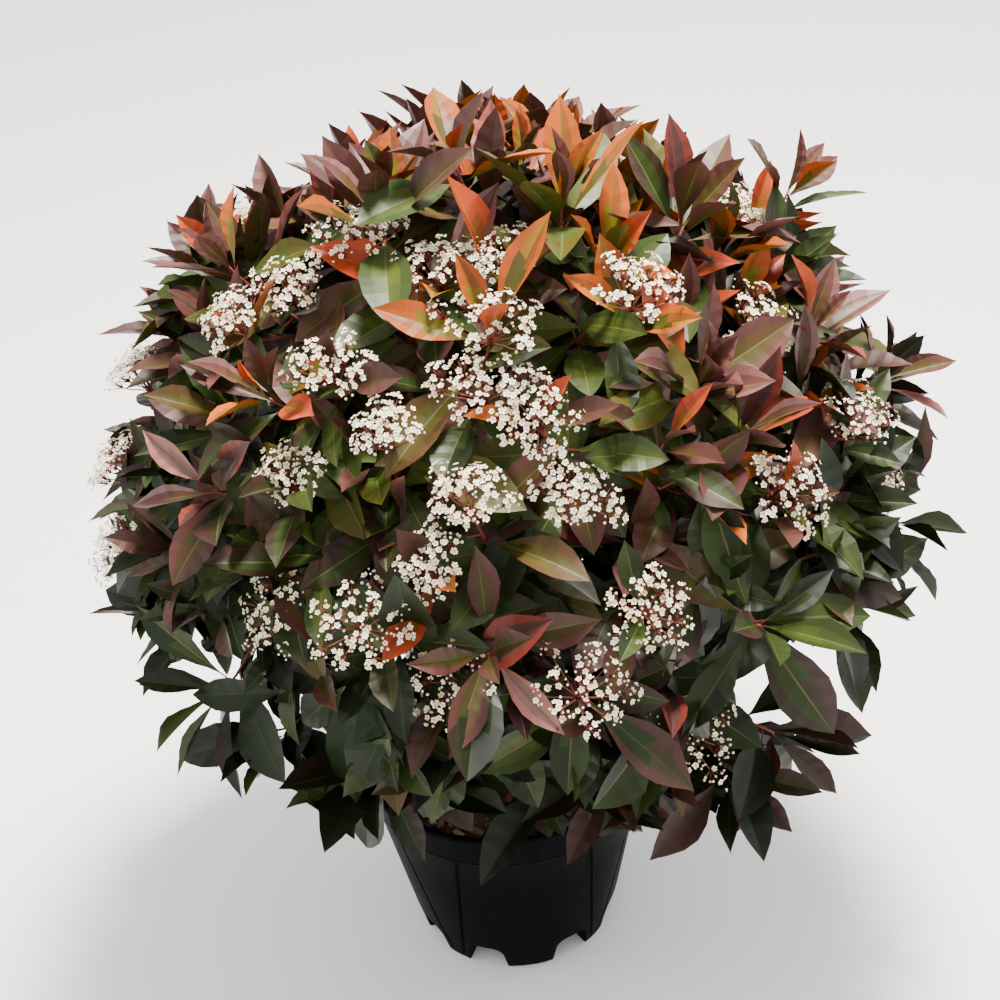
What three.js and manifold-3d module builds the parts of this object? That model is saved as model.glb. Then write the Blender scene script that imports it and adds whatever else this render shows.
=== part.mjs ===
// A flowering evergreen shrub, photinia red robin, growing in its black nursery pot.
// Millimetres, +Z up. The origin is the middle of the pot's flat underside and -Y is the front.
// An azimuth runs from the front (-Y) towards +X, an elevation runs up from the level.

import * as THREE from 'three';
import { mergeVertices } from 'three/addons/utils/BufferGeometryUtils.js';
import Module from 'manifold-3d';

// Pot
const POT_HEIGHT = 261;
const RIM_RADIUS = 175;
const BASE_RADIUS = 117;
const POT_WALL = 3;
const POT_SIDES = 30;
const BASE_ROUNDING = 8;
const LIP_HEIGHT = 9;
const LIP_OVERHANG = 4;
const LIP_ROUNDING = 2;
const FOOT_COUNT = 8;
const FOOT_TURN = 4.5; // azimuth of the wide foot at the front
const ARCH_TURN = 25.5; // from a wide foot's middle to the arch on each side of it
const ARCH_WIDTH = 44;
const ARCH_HEIGHT = 40;
const ARCH_DEPTH = 45;
const ARCH_ROUNDING = 14;
const COMPOST_LEVEL = 236;
const COMPOST_FALL = 5; // from the middle down to the wall
const COMPOST_FLAT = 60; // radius of the flat that the stem stands on

// Wood
const STEM_HEIGHT = 78;
const STEM_LEAN = 6;
const FLARE_RADIUS = 25;
const FLARE_HEIGHT = 28; // where the root flare has come in to the stem's own radius
const STEM_RADIUS = 16;
const FORK_RADIUS = 13;
const LEADER_RADIUS = 8;
const SIDE_BOUGH_RADIUS = 5.5;
const BOUGH_TIP_RADIUS = 4;
const LEADERS = 5;
const LEADER_DROP = 30; // the lowest leader leaves the stem this far under the fork
const LEADER_STEP = 4;
const LEADER_RISE = 42; // elevation at which it leaves
const LIMB_SIDES = 5;
const LIMB_STEPS = 4;

// Each leader's side boughs: the ring they go to, the place in it counted from the leader's
// first, the share of the leader's length where they leave, and the elevation they leave at.
const SIDE_BOUGHS = [
  { ring: 'lower', place: 1, share: 0.2, rise: 12 },
  { ring: 'lower', place: 2, share: 0.3, rise: 12 },
  { ring: 'middle', place: 0, share: 0.46, rise: 25 },
  { ring: 'middle', place: 1, share: 0.56, rise: 25 },
];

// Crown: its outline through the leaf tips is an ellipsoid above, and tapers in below
const CROWN_CENTRE = new THREE.Vector3(31, 0, 615);
const CROWN_REACH = new THREE.Vector3(462, 462, 451);
const CROWN_DROP = 395; // its outline's reach straight down
const CROWN_TAPER = 1.6; // of its lower half: 2 is as round as an ellipsoid, 1 is a cone
const CROWN_FLOOR = 215; // no leaf hangs lower
const GROWTH_POINT = new THREE.Vector3(12, 0, 470); // the masses' stems radiate from it
const ROOT_REACH = 0.42; // where a mass's stem starts, as a share of the way to the outline
const STEM_REACH = 0.48; // and where it ends, inside the mass's core
const FORK_REACH = [0.5, 0.64]; // its shoots leave its line inside the core, between these
const MASS_STEM_RADIUS = 5.5;
const CORE_REACH = 0.58;
const CORE_LENGTH = 0.15; // half of it, as a share of the mass's reach, as is the next
const CORE_RADIUS = 0.21;
const INNER_REACH = 0.46; // leaves stay outside it
const STEM_CLEARANCE = 60; // and this far from the stem, below the fork
const CELL_MARGIN = 2;

// Shoots, leaves and flower heads
const SHOOT_COUNT = 118;
const LOWEST_SHOOT = -58; // elevation
const SHOOT_REACH = 0.77; // a shoot's tip, as a share of the way to the outline
const SHOOT_REACH_SCATTER = 0.06;
const SHOOT_TURN_SCATTER = 8;
const SHOOT_RADIUS = 4.5;
const SHOOT_TIP_RADIUS = 3.2;
const SHOOT_SLANT = 1.1;
const SHOOT_PULL_STEP = 0.1; // how a tip is drawn in towards its mass's stem until it fits
const SHOOT_PULL_MOST = 0.7;
const LEAF_LENGTH = 132;
const LEAF_LENGTH_SCATTER = 0.16;
const LEAF_WIDTH = 56;
const LEAF_THICKNESS = 4;
const LEAF_WIDEST = 0.46; // as a share of its length
const LEAF_THICKEST = 0.2;
const LEAF_ROOT = 2; // how far a leaf starts behind its shoot's middle
const OUTLINE_LIMIT = 1.05;
const LEAVES_PER_SHOOT = 5;
const LEAF_SPACING = 13; // along the shoot, back from its tip
const LEAF_TIP_GAP = 5; // from the shoot's tip to its first leaf
const LEAF_TURN_SCATTER = 20;
const LEAF_SLANT = 32; // off the shoot, of the leaf at its tip
const LEAF_SLANT_STEP = 17;
const LEAF_SLANT_SCATTER = 14;
const LEAF_FREE = 0.2; // beyond this share of its length a leaf touches nothing
const TRIES = [[0, 0], [25, 8], [-25, 8], [50, 16], [-50, 16], [90, 24], [-90, 24], [140, 8], [180, 16]];
const GOLDEN_ANGLE = 137.508;
const FLOWER_RADIUS = 50;
const FLOWER_HEIGHT = 20;
const FLOWER_SEAT = 16; // from the shoot's tip up to the head's middle
const FLOWER_SLANT = 76; // of the leaves under a flower head

const FACE_GAP = 0.3; // between neighbouring pieces
const PIECE_GAP = 4; // between leaves and the pot

// Rings of foliage masses. flowers holds each mass's count of flower heads, by azimuth.
const RINGS = [
  { name: 'top', elevation: 83, turn: 0, flowers: [1], colour: 0x93473a },
  { name: 'upper', elevation: 47, turn: 36, flowers: [4, 2, 2, 2, 5], colour: 0x74463c },
  { name: 'middle', elevation: 11, turn: 18, flowers: [4, 3, 2, 2, 2, 2, 2, 3, 4, 4], colour: 0x48502f },
  { name: 'lower', elevation: -27, turn: 0, flowers: [3, 2, 1, 1, 1, 1, 1, 1, 2, 3], colour: 0x33422a },
];

const BLACK_PLASTIC = new THREE.MeshStandardMaterial({ color: 0x15181b, roughness: 0.5 });
const COMPOST = new THREE.MeshStandardMaterial({ color: 0x3a281d, roughness: 1 });
const BARK = new THREE.MeshStandardMaterial({ color: 0x5a4436, roughness: 0.9 });

const wasm = await Module();
wasm.setup();

const shrub = new THREE.Group();
const radians = THREE.MathUtils.degToRad;

// A number from 0 to 1 that is the same each time for one pair of numbers.
function chance(index, salt) {
  const wave = Math.sin(index * 12.9898 + salt * 78.233) * 43758.5453;
  return wave - Math.floor(wave);
}

function direction(azimuth, elevation) {
  const a = radians(azimuth);
  const e = radians(elevation);
  return new THREE.Vector3(Math.sin(a) * Math.cos(e), -Math.cos(a) * Math.cos(e), Math.sin(e));
}

// Solids

function toSolid(geometry) {
  geometry.deleteAttribute('normal');
  geometry.deleteAttribute('uv');
  const merged = mergeVertices(geometry, 1e-4);
  const corners = merged.index.array;
  const triangles = [];
  for (let i = 0; i < corners.length; i += 3) {
    const [a, b, c] = corners.slice(i, i + 3);
    if (a !== b && b !== c && c !== a) triangles.push(a, b, c);
  }
  return new wasm.Manifold(new wasm.Mesh({
    numProp: 3,
    vertProperties: new Float32Array(merged.attributes.position.array),
    triVerts: new Uint32Array(triangles),
  }));
}

function joined(solids) {
  return solids.reduce((whole, solid) => whole.add(solid));
}

// Only the largest of the bodies that cutting or joining leaves.
function largest(solid) {
  return solid.decompose().sort((a, b) => b.volume() - a.volume())[0];
}

function addNode(name, solid, material) {
  const { vertProperties, triVerts } = solid.getMesh();
  const geometry = new THREE.BufferGeometry();
  geometry.setAttribute('position', new THREE.Float32BufferAttribute(vertProperties, 3));
  geometry.setIndex(Array.from(triVerts));
  geometry.computeVertexNormals();
  const mesh = new THREE.Mesh(geometry, material);
  mesh.name = name;
  shrub.add(mesh);
}

// A solid of revolution round Z from [radius, height] points that start and end on the axis.
function turned(profile, sides) {
  const points = profile.map(([radius, height]) => new THREE.Vector2(radius, height));
  return new THREE.LatheGeometry(points, sides).rotateX(Math.PI / 2);
}

// A tapered cylinder bent along a curve.
function limbSolid(curve, baseRadius, tipRadius, sides, steps) {
  const geometry = new THREE.CylinderGeometry(tipRadius, baseRadius, 1, sides, steps);
  const frames = curve.computeFrenetFrames(steps, false);
  const centres = curve.getSpacedPoints(steps);
  const position = geometry.attributes.position;
  for (let i = 0; i < position.count; i += 1) {
    const step = Math.round((position.getY(i) + 0.5) * steps);
    const point = centres[step].clone()
      .addScaledVector(frames.normals[step], position.getX(i))
      .addScaledVector(frames.binormals[step], -position.getZ(i));
    position.setXYZ(i, point.x, point.y, point.z);
  }
  return toSolid(geometry);
}

// Pot and compost

function wallRadius(height) {
  return THREE.MathUtils.mapLinear(height, 0, POT_HEIGHT, BASE_RADIUS, RIM_RADIUS - LIP_OVERHANG);
}

// The round-topped openings between the feet, made larger on all sides by the margin.
function footArches(margin) {
  const half = ARCH_WIDTH / 2 + margin;
  const top = ARCH_HEIGHT + margin;
  const outline = new THREE.Shape();
  outline.moveTo(-half, -POT_WALL);
  outline.lineTo(half, -POT_WALL);
  outline.lineTo(half, top - ARCH_ROUNDING);
  outline.quadraticCurveTo(half, top, half - ARCH_ROUNDING, top);
  outline.lineTo(ARCH_ROUNDING - half, top);
  outline.quadraticCurveTo(-half, top, -half, top - ARCH_ROUNDING);
  const inner = BASE_RADIUS - ARCH_DEPTH - margin;
  const depth = RIM_RADIUS - inner;
  const arches = [];
  for (let i = 0; i < FOOT_COUNT; i += 1) {
    const side = i % 2 ? 1 : -1;
    const azimuth = FOOT_TURN + Math.floor(i / 2) * 90 + side * ARCH_TURN;
    const arch = new THREE.ExtrudeGeometry(outline, { depth, bevelEnabled: false, curveSegments: 2 });
    arch.rotateX(Math.PI / 2).translate(0, -inner, 0).rotateZ(radians(azimuth));
    arches.push(toSolid(arch));
  }
  return joined(arches);
}

// The pot's inside up to the given height, smaller on all sides by the margin.
function potFilling(top, margin, crest) {
  const floor = POT_WALL + margin;
  const inset = POT_WALL + margin;
  const filling = toSolid(turned([
    [0, floor],
    [wallRadius(floor) - inset - BASE_ROUNDING / 2, floor],
    [wallRadius(BASE_ROUNDING) - inset, BASE_ROUNDING + margin],
    [wallRadius(top) - inset, top],
    ...crest,
  ], POT_SIDES));
  return filling.subtract(footArches(inset));
}

function addPot() {
  const lipUnder = POT_HEIGHT - LIP_HEIGHT;
  const outside = toSolid(turned([
    [0, 0],
    [BASE_RADIUS - BASE_ROUNDING, 0],
    [BASE_RADIUS - BASE_ROUNDING / 3, BASE_ROUNDING / 3],
    [wallRadius(BASE_ROUNDING), BASE_ROUNDING],
    [wallRadius(lipUnder), lipUnder],
    [RIM_RADIUS, lipUnder + LIP_ROUNDING],
    [RIM_RADIUS, POT_HEIGHT - LIP_ROUNDING],
    [RIM_RADIUS - LIP_ROUNDING, POT_HEIGHT],
    [0, POT_HEIGHT],
  ], POT_SIDES));
  const above = POT_HEIGHT + 1;
  const inside = potFilling(above, 0, [[0, above]]);
  addNode('pot', outside.subtract(footArches(0)).subtract(inside), BLACK_PLASTIC);
  const crest = [[COMPOST_FLAT, COMPOST_LEVEL], [0, COMPOST_LEVEL]];
  addNode('compost', potFilling(COMPOST_LEVEL - COMPOST_FALL, FACE_GAP, crest), COMPOST);
}

// Foliage masses: each keeps to a cell, the cone of directions from the growth point that
// lie nearer to its own direction than to any other mass's.

function crownReach(offset) {
  return CROWN_REACH.clone().setZ(offset.z < 0 ? CROWN_DROP : CROWN_REACH.z);
}

// The share of the way to the outline that an offset reaches, given in shares of the crown's reach.
function reachShare(offset) {
  const power = offset.z < 0 ? CROWN_TAPER : 2;
  const level = Math.hypot(offset.x, offset.y);
  return (level ** power + Math.abs(offset.z) ** power) ** (1 / power);
}

function outlinePoint(heading, share) {
  const scale = share / reachShare(heading);
  return heading.clone().multiply(crownReach(heading)).multiplyScalar(scale).add(CROWN_CENTRE);
}

function outlineShare(point) {
  const offset = point.clone().sub(CROWN_CENTRE);
  return reachShare(offset.divide(crownReach(offset)));
}

function planMasses() {
  const masses = [];
  for (const ring of RINGS) {
    ring.flowers.forEach((flowers, index) => {
      const azimuth = ring.turn + index * 360 / ring.flowers.length;
      const end = outlinePoint(direction(azimuth, ring.elevation), 1);
      const axis = end.clone().sub(GROWTH_POINT).normalize();
      const reach = end.distanceTo(GROWTH_POINT);
      const root = GROWTH_POINT.clone().addScaledVector(axis, ROOT_REACH * reach);
      const label = ring.flowers.length > 1 ? `${ring.name}_${index + 1}` : ring.name;
      masses.push({ ring, index, label, azimuth, axis, reach, root, flowers, shoots: [] });
    });
  }
  for (const mass of masses) {
    const others = masses.filter((other) => other !== mass);
    mass.walls = others.map((other) => mass.axis.clone().sub(other.axis).normalize());
  }
  return masses;
}

function inCell(mass, points) {
  return points.every((point) => {
    const away = point.clone().sub(GROWTH_POINT);
    return mass.walls.every((wall) => away.dot(wall) > CELL_MARGIN);
  });
}

function clearOfWood(mass, points) {
  return points.every((point) => {
    const low = point.z < COMPOST_LEVEL + STEM_HEIGHT * 2;
    const beside = Math.hypot(point.x, point.y) > STEM_CLEARANCE;
    return point.distanceTo(GROWTH_POINT) > INNER_REACH * mass.reach && (beside || !low);
  });
}

// Above the rim, or wholly outside an upright plane that touches the rim's clearance.
function clearOfPot(points) {
  if (points.every((point) => point.z > POT_HEIGHT + PIECE_GAP)) return true;
  const out = points.reduce((sum, point) => sum.add(point), new THREE.Vector3()).setZ(0).normalize();
  return points.every((point) => point.dot(out) > RIM_RADIUS + PIECE_GAP);
}

// Gives each shoot tip, spread evenly over the crown, to the mass whose cell it lies in.
function planShoots(masses) {
  for (let i = 0; i < SHOOT_COUNT; i += 1) {
    const height = 1 - (2 * i + 1) / SHOOT_COUNT;
    const azimuth = i * GOLDEN_ANGLE + SHOOT_TURN_SCATTER * (chance(i, 1) - 0.5);
    const elevation = THREE.MathUtils.radToDeg(Math.asin(height));
    if (elevation < LOWEST_SHOOT) continue;
    const share = SHOOT_REACH + SHOOT_REACH_SCATTER * (chance(i, 2) - 0.5);
    const tip = outlinePoint(direction(azimuth, elevation), share);
    const heading = tip.clone().sub(GROWTH_POINT).normalize();
    const mass = masses.reduce((best, m) => (m.axis.dot(heading) > best.axis.dot(heading) ? m : best));
    mass.shoots.push({ index: i, tip });
  }
  for (const mass of masses) {
    const order = [...mass.shoots].sort((a, b) => chance(a.index, 3) - chance(b.index, 3));
    order.slice(0, mass.flowers).forEach((shoot) => { shoot.flowering = true; });
  }
}

// An eight-faced blade. Its corners are the octahedron's, moved to the leaf's places.
function leafGeometry(base, along, up, length, width) {
  const across = new THREE.Vector3().crossVectors(up, along);
  const geometry = new THREE.OctahedronGeometry(1, 0);
  const position = geometry.attributes.position;
  for (let i = 0; i < position.count; i += 1) {
    const middle = Math.abs(position.getY(i)) > 0.5 ? LEAF_WIDEST : LEAF_THICKEST;
    const reach = Math.abs(position.getX(i)) > 0.5 ? Math.max(position.getX(i), 0) : middle;
    const point = base.clone()
      .addScaledVector(along, reach * length)
      .addScaledVector(across, position.getY(i) * width / 2)
      .addScaledVector(up, position.getZ(i) * LEAF_THICKNESS / 2);
    position.setXYZ(i, point.x, point.y, point.z);
  }
  return geometry;
}

function cornersOf(geometry) {
  const position = geometry.attributes.position;
  return Array.from({ length: position.count }, (_, i) => new THREE.Vector3().fromBufferAttribute(position, i));
}

function fits(mass, geometry) {
  const corners = cornersOf(geometry);
  if (corners.some((corner) => corner.z < CROWN_FLOOR)) return false;
  return inCell(mass, corners) && clearOfWood(mass, corners) && clearOfPot(corners);
}

// The first of a few turns and slants at which a leaf keeps to its mass's space and touches
// nothing but its own shoot, or nothing.
function placeLeaf(mass, whole, shoot, turn, back, slant, length) {
  const { heading, side } = shoot;
  for (const [extraTurn, extraSlant] of TRIES) {
    const angle = radians(slant + extraSlant);
    const out = side.clone().applyAxisAngle(heading, radians(turn + extraTurn));
    const along = heading.clone().multiplyScalar(Math.cos(angle)).addScaledVector(out, Math.sin(angle));
    const up = heading.clone().multiplyScalar(Math.sin(angle)).addScaledVector(out, -Math.cos(angle));
    const base = shoot.tip.clone().addScaledVector(heading, -back).addScaledVector(along, -LEAF_ROOT);
    const end = base.clone().addScaledVector(along, length);
    const leaf = leafGeometry(base, along, up, length, LEAF_WIDTH);
    if (outlineShare(end) > OUTLINE_LIMIT || !fits(mass, leaf)) continue;
    const outer = base.clone().addScaledVector(along, LEAF_FREE * length);
    const free = toSolid(leafGeometry(outer, along, up, (1 - LEAF_FREE) * length, LEAF_WIDTH));
    if (whole.intersect(free).isEmpty()) return toSolid(leaf);
  }
  return null;
}

// The mass with the shoot's leaves added to it.
function withLeaves(mass, whole, shoot) {
  let leafy = whole;
  for (let k = 0; k < LEAVES_PER_SHOOT; k += 1) {
    const count = shoot.index * LEAVES_PER_SHOOT + k;
    const turn = count * GOLDEN_ANGLE + LEAF_TURN_SCATTER * (chance(count, 4) - 0.5);
    const length = LEAF_LENGTH * (1 + LEAF_LENGTH_SCATTER * (chance(count, 5) - 0.5));
    const back = LEAF_TIP_GAP + k * LEAF_SPACING;
    const natural = LEAF_SLANT + k * LEAF_SLANT_STEP + LEAF_SLANT_SCATTER * (chance(count, 6) - 0.5);
    const leaf = placeLeaf(mass, leafy, shoot, turn, back, shoot.head ? FLOWER_SLANT : natural, length);
    if (leaf) leafy = leafy.add(leaf);
  }
  return leafy;
}

function flowerHead(mass, shoot) {
  const geometry = new THREE.IcosahedronGeometry(1, 0).scale(FLOWER_RADIUS, FLOWER_RADIUS, FLOWER_HEIGHT);
  const upright = new THREE.Quaternion().setFromUnitVectors(new THREE.Vector3(0, 0, 1), shoot.heading);
  const { x, y, z } = shoot.tip.clone().addScaledVector(shoot.heading, FLOWER_SEAT);
  geometry.applyQuaternion(upright).translate(x, y, z);
  return fits(mass, geometry) ? geometry : null;
}

// The dense inside of a mass: a ball pressed back where it would leave its cell.
function coreGeometry(mass) {
  const centre = GROWTH_POINT.clone().addScaledVector(mass.axis, CORE_REACH * mass.reach);
  const geometry = new THREE.OctahedronGeometry(1, 1);
  const position = geometry.attributes.position;
  for (let i = 0; i < position.count; i += 1) {
    const ray = new THREE.Vector3().fromBufferAttribute(position, i);
    const lengthwise = ray.dot(mass.axis);
    const sideways = Math.sqrt(1 - lengthwise ** 2);
    const span = mass.reach / Math.hypot(lengthwise / CORE_LENGTH, sideways / CORE_RADIUS);
    const room = mass.walls.map((wall) => {
      const closing = -ray.dot(wall);
      return closing > 0 ? (centre.clone().sub(GROWTH_POINT).dot(wall) - 2 * CELL_MARGIN) / closing : Infinity;
    });
    const point = centre.clone().addScaledVector(ray, Math.min(span, ...room));
    position.setXYZ(i, point.x, point.y, point.z);
  }
  return geometry;
}

// A shoot leaves the mass's stem at a slant and ends at its tip, drawn in until it fits.
function setShoot(mass, shoot) {
  for (let pull = 0; pull < SHOOT_PULL_MOST; pull += SHOOT_PULL_STEP) {
    const along = shoot.tip.clone().sub(mass.root).dot(mass.axis);
    const foot = mass.root.clone().addScaledVector(mass.axis, along);
    const tip = shoot.tip.clone().lerp(foot, pull);
    const rise = along - tip.distanceTo(foot) * SHOOT_SLANT;
    const [first, last] = FORK_REACH.map((share) => (share - ROOT_REACH) * mass.reach);
    const start = mass.root.clone().addScaledVector(mass.axis, THREE.MathUtils.clamp(rise, first, last));
    const heading = tip.clone().sub(start).normalize();
    const side = new THREE.Vector3(0, 0, 1).cross(heading).normalize();
    const room = shoot.flowering ? FLOWER_RADIUS : SHOOT_RADIUS;
    const rim = [0, 90, 180, 270].map((turn) => {
      return tip.clone().addScaledVector(side.clone().applyAxisAngle(heading, radians(turn)), room);
    });
    if (inCell(mass, rim)) {
      Object.assign(shoot, { tip, heading, side });
      return limbSolid(new THREE.LineCurve3(start, tip), SHOOT_RADIUS, SHOOT_TIP_RADIUS, 3, 1);
    }
  }
  return null;
}

function addMass(mass) {
  const end = GROWTH_POINT.clone().addScaledVector(mass.axis, STEM_REACH * mass.reach);
  const stem = new THREE.LineCurve3(mass.root, end);
  const frame = [limbSolid(stem, MASS_STEM_RADIUS, SHOOT_RADIUS, 3, 1), toSolid(coreGeometry(mass))];
  const shoots = mass.shoots.filter((shoot) => {
    const twig = setShoot(mass, shoot);
    if (!twig) return false;
    frame.push(twig);
    shoot.head = shoot.flowering ? flowerHead(mass, shoot) : null;
    if (shoot.head) frame.push(toSolid(shoot.head));
    return true;
  });
  const whole = shoots.reduce((leafy, shoot) => withLeaves(mass, leafy, shoot), joined(frame));
  const material = new THREE.MeshStandardMaterial({ color: mass.ring.colour, roughness: 0.5 });
  addNode(`foliage_${mass.label}`, largest(whole), material);
}

// Wood: a short stem forks into a middle leader and five leaders round it, and each of
// these carries side boughs. Every limb is cut back by those already there.

function addWood(masses) {
  const standing = [];
  const ground = COMPOST_LEVEL + FACE_GAP;
  const fork = ground + STEM_HEIGHT;
  const stemProfile = (margin) => turned([
    [0, ground - margin],
    [FLARE_RADIUS + margin, ground - margin],
    [(FLARE_RADIUS + STEM_RADIUS) / 2 + margin, ground + FLARE_HEIGHT / 3],
    [STEM_RADIUS + margin, ground + FLARE_HEIGHT],
    [FORK_RADIUS + margin, fork + margin],
    [0, fork + margin],
  ], LIMB_SIDES * 2);
  const leaning = (geometry) => {
    const position = geometry.attributes.position;
    for (let i = 0; i < position.count; i += 1) {
      const climb = Math.max(0, position.getZ(i) - ground) / STEM_HEIGHT;
      position.setX(i, position.getX(i) + STEM_LEAN * climb ** 2);
    }
    return toSolid(geometry);
  };
  addNode('stem', leaning(stemProfile(0)), BARK);
  standing.push(leaning(stemProfile(FACE_GAP)));

  const addBough = (mass, start, heading, baseRadius) => {
    const end = mass.root.clone().addScaledVector(mass.axis, -FACE_GAP);
    const third = start.distanceTo(end) / 3;
    const curve = new THREE.CubicBezierCurve3(
      start,
      start.clone().addScaledVector(heading, third),
      end.clone().addScaledVector(mass.axis, -third),
      end,
    );
    let solid = limbSolid(curve, baseRadius, BOUGH_TIP_RADIUS, LIMB_SIDES, LIMB_STEPS);
    for (const other of standing) solid = solid.subtract(other);
    addNode(`bough_${mass.label}`, largest(solid), BARK);
    const margin = FACE_GAP / Math.cos(Math.PI / LIMB_SIDES); // so that its flats stand off by the gap
    standing.push(limbSolid(curve, baseRadius + margin, BOUGH_TIP_RADIUS + margin, LIMB_SIDES, LIMB_STEPS));
    return curve;
  };

  const inRing = (name) => masses.filter((mass) => mass.ring.name === name);
  const crotch = new THREE.Vector3(STEM_LEAN, 0, fork + 1.5 * FACE_GAP);
  addBough(inRing('top')[0], crotch, direction(0, 90), LEADER_RADIUS);
  inRing('upper').forEach((upper, k) => {
    const height = fork - LEADER_DROP + LEADER_STEP * ((2 * k) % LEADERS);
    const start = new THREE.Vector3(STEM_LEAN / 2, 0, height);
    const leader = addBough(upper, start, direction(upper.azimuth, LEADER_RISE), LEADER_RADIUS);
    for (const { ring, place, share, rise } of SIDE_BOUGHS) {
      const ends = inRing(ring);
      const mass = ends[(2 * k + place) % ends.length];
      addBough(mass, leader.getPointAt(share), direction(mass.azimuth, rise), SIDE_BOUGH_RADIUS);
    }
  });
}

addPot();
const masses = planMasses();
planShoots(masses);
addWood(masses);
masses.forEach(addMass);

export default shrub;
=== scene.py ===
"""The finish of a flowering evergreen shrub, photinia red robin, in its black nursery pot.

The sections follow the plant as it stands: camera and floor, pot, compost, stem and boughs,
the crown's plan of shoots, leaves, twigs, and the heads of small white flowers. Metres, +Z up.
"""

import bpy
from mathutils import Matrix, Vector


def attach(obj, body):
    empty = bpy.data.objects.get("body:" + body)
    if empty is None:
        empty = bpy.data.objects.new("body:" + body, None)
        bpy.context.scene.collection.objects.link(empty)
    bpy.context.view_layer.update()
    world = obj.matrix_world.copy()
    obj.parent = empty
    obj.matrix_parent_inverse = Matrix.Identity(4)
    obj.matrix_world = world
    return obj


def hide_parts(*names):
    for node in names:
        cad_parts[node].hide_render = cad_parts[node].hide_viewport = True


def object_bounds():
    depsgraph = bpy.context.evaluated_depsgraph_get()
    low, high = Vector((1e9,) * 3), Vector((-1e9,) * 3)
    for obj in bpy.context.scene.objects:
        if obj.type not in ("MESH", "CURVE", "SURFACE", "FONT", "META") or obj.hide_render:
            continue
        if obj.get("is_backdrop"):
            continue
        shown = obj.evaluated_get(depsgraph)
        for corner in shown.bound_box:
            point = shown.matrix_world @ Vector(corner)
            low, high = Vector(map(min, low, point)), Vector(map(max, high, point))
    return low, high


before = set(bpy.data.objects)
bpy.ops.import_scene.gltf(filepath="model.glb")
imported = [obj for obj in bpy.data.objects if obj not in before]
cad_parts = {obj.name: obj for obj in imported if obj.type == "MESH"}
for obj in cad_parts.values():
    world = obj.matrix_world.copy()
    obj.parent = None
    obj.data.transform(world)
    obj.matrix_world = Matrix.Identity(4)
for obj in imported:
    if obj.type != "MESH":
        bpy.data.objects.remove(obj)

from types import SimpleNamespace

import bmesh
import bpy
import numpy as np
from mathutils import Matrix, Vector, noise

cad_low, cad_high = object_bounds()

# Camera, floor and light. The camera stands above the shrub's front and looks down on it,
# tipped a little to one side. The floor is plain and pale, and the lights are large and soft,
# with the strongest overhead.
CAMERA_PLACE = (0.0, -1.97, 1.943)
CAMERA_PITCH = 34.26
CAMERA_YAW = 0.51
CAMERA_ROLL = -4.6
CAMERA_LENS = 78.7
FLOOR_SIZE = 14.0
FLOOR_COLOUR = (0.93, 0.93, 0.94)
LIGHTS = (  # name, place, aim, size, watts, colour
    ("overhead", (0.5, 0.45, 3.6), (0.0, 0.0, 0.6), 0.8, 480.0, (1.0, 0.95, 0.88)),
    ("front", (-1.6, -3.4, 2.6), (0.0, 0.0, 0.5), 2.2, 14.0, (1.0, 0.98, 0.95)),
    ("left", (-3.2, -0.4, 2.2), (0.0, 0.0, 0.6), 1.8, 28.0, (1.0, 0.98, 0.95)),
    ("right", (3.0, 0.6, 2.0), (0.0, 0.0, 0.6), 1.8, 22.0, (1.0, 0.98, 0.95)),
)
SKY_COLOUR = (1.0, 0.99, 0.97)
SKY_STRENGTH = 1.5


def turned(degrees, axis):
    return Matrix.Rotation(np.radians(degrees), 3, axis)


def plain_finish(name, colour, roughness, shine=0.5):
    """A material of one plain colour, for what is dealt out by spray."""
    material = bpy.data.materials.new(name)
    material.use_nodes = True
    shader = material.node_tree.nodes["Principled BSDF"]
    shader.inputs["Base Color"].default_value = (*colour, 1.0)
    shader.inputs["Roughness"].default_value = roughness
    shader.inputs["Specular IOR Level"].default_value = shine
    return material


def add_object(name, data):
    made = bpy.data.objects.new(name, data)
    bpy.context.scene.collection.objects.link(made)
    return made


def as_object(name, shape, smooth_angle=None):
    """An object from a bmesh, shaded smooth up to an angle where one is given."""
    mesh = bpy.data.meshes.new(name)
    shape.to_mesh(mesh)
    shape.free()
    if smooth_angle:
        mesh.shade_smooth()
        mesh.set_sharp_from_angle(angle=np.radians(smooth_angle))
    return add_object(name, mesh)


camera = add_object("camera", bpy.data.cameras.new("camera"))
camera.data.lens = CAMERA_LENS
aim = turned(-CAMERA_YAW, "Z") @ turned(90 - CAMERA_PITCH, "X") @ turned(CAMERA_ROLL, "Z")
camera.matrix_world = Matrix.Translation(CAMERA_PLACE) @ aim.to_4x4()
bpy.context.scene.camera = camera

for name, place, target, size, watts, colour in LIGHTS:
    lamp = bpy.data.lights.new(name, "AREA")
    lamp.size = size
    lamp.energy = watts
    lamp.color = colour
    holder = add_object(name, lamp)
    holder.location = place
    away = Vector(place) - Vector(target)
    holder.rotation_euler = away.to_track_quat("Z", "Y").to_euler()

world = bpy.data.worlds.new("studio")
world.use_nodes = True
sky = world.node_tree.nodes["Background"].inputs
sky["Color"].default_value = (*SKY_COLOUR, 1.0)
sky["Strength"].default_value = SKY_STRENGTH
bpy.context.scene.world = world

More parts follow.
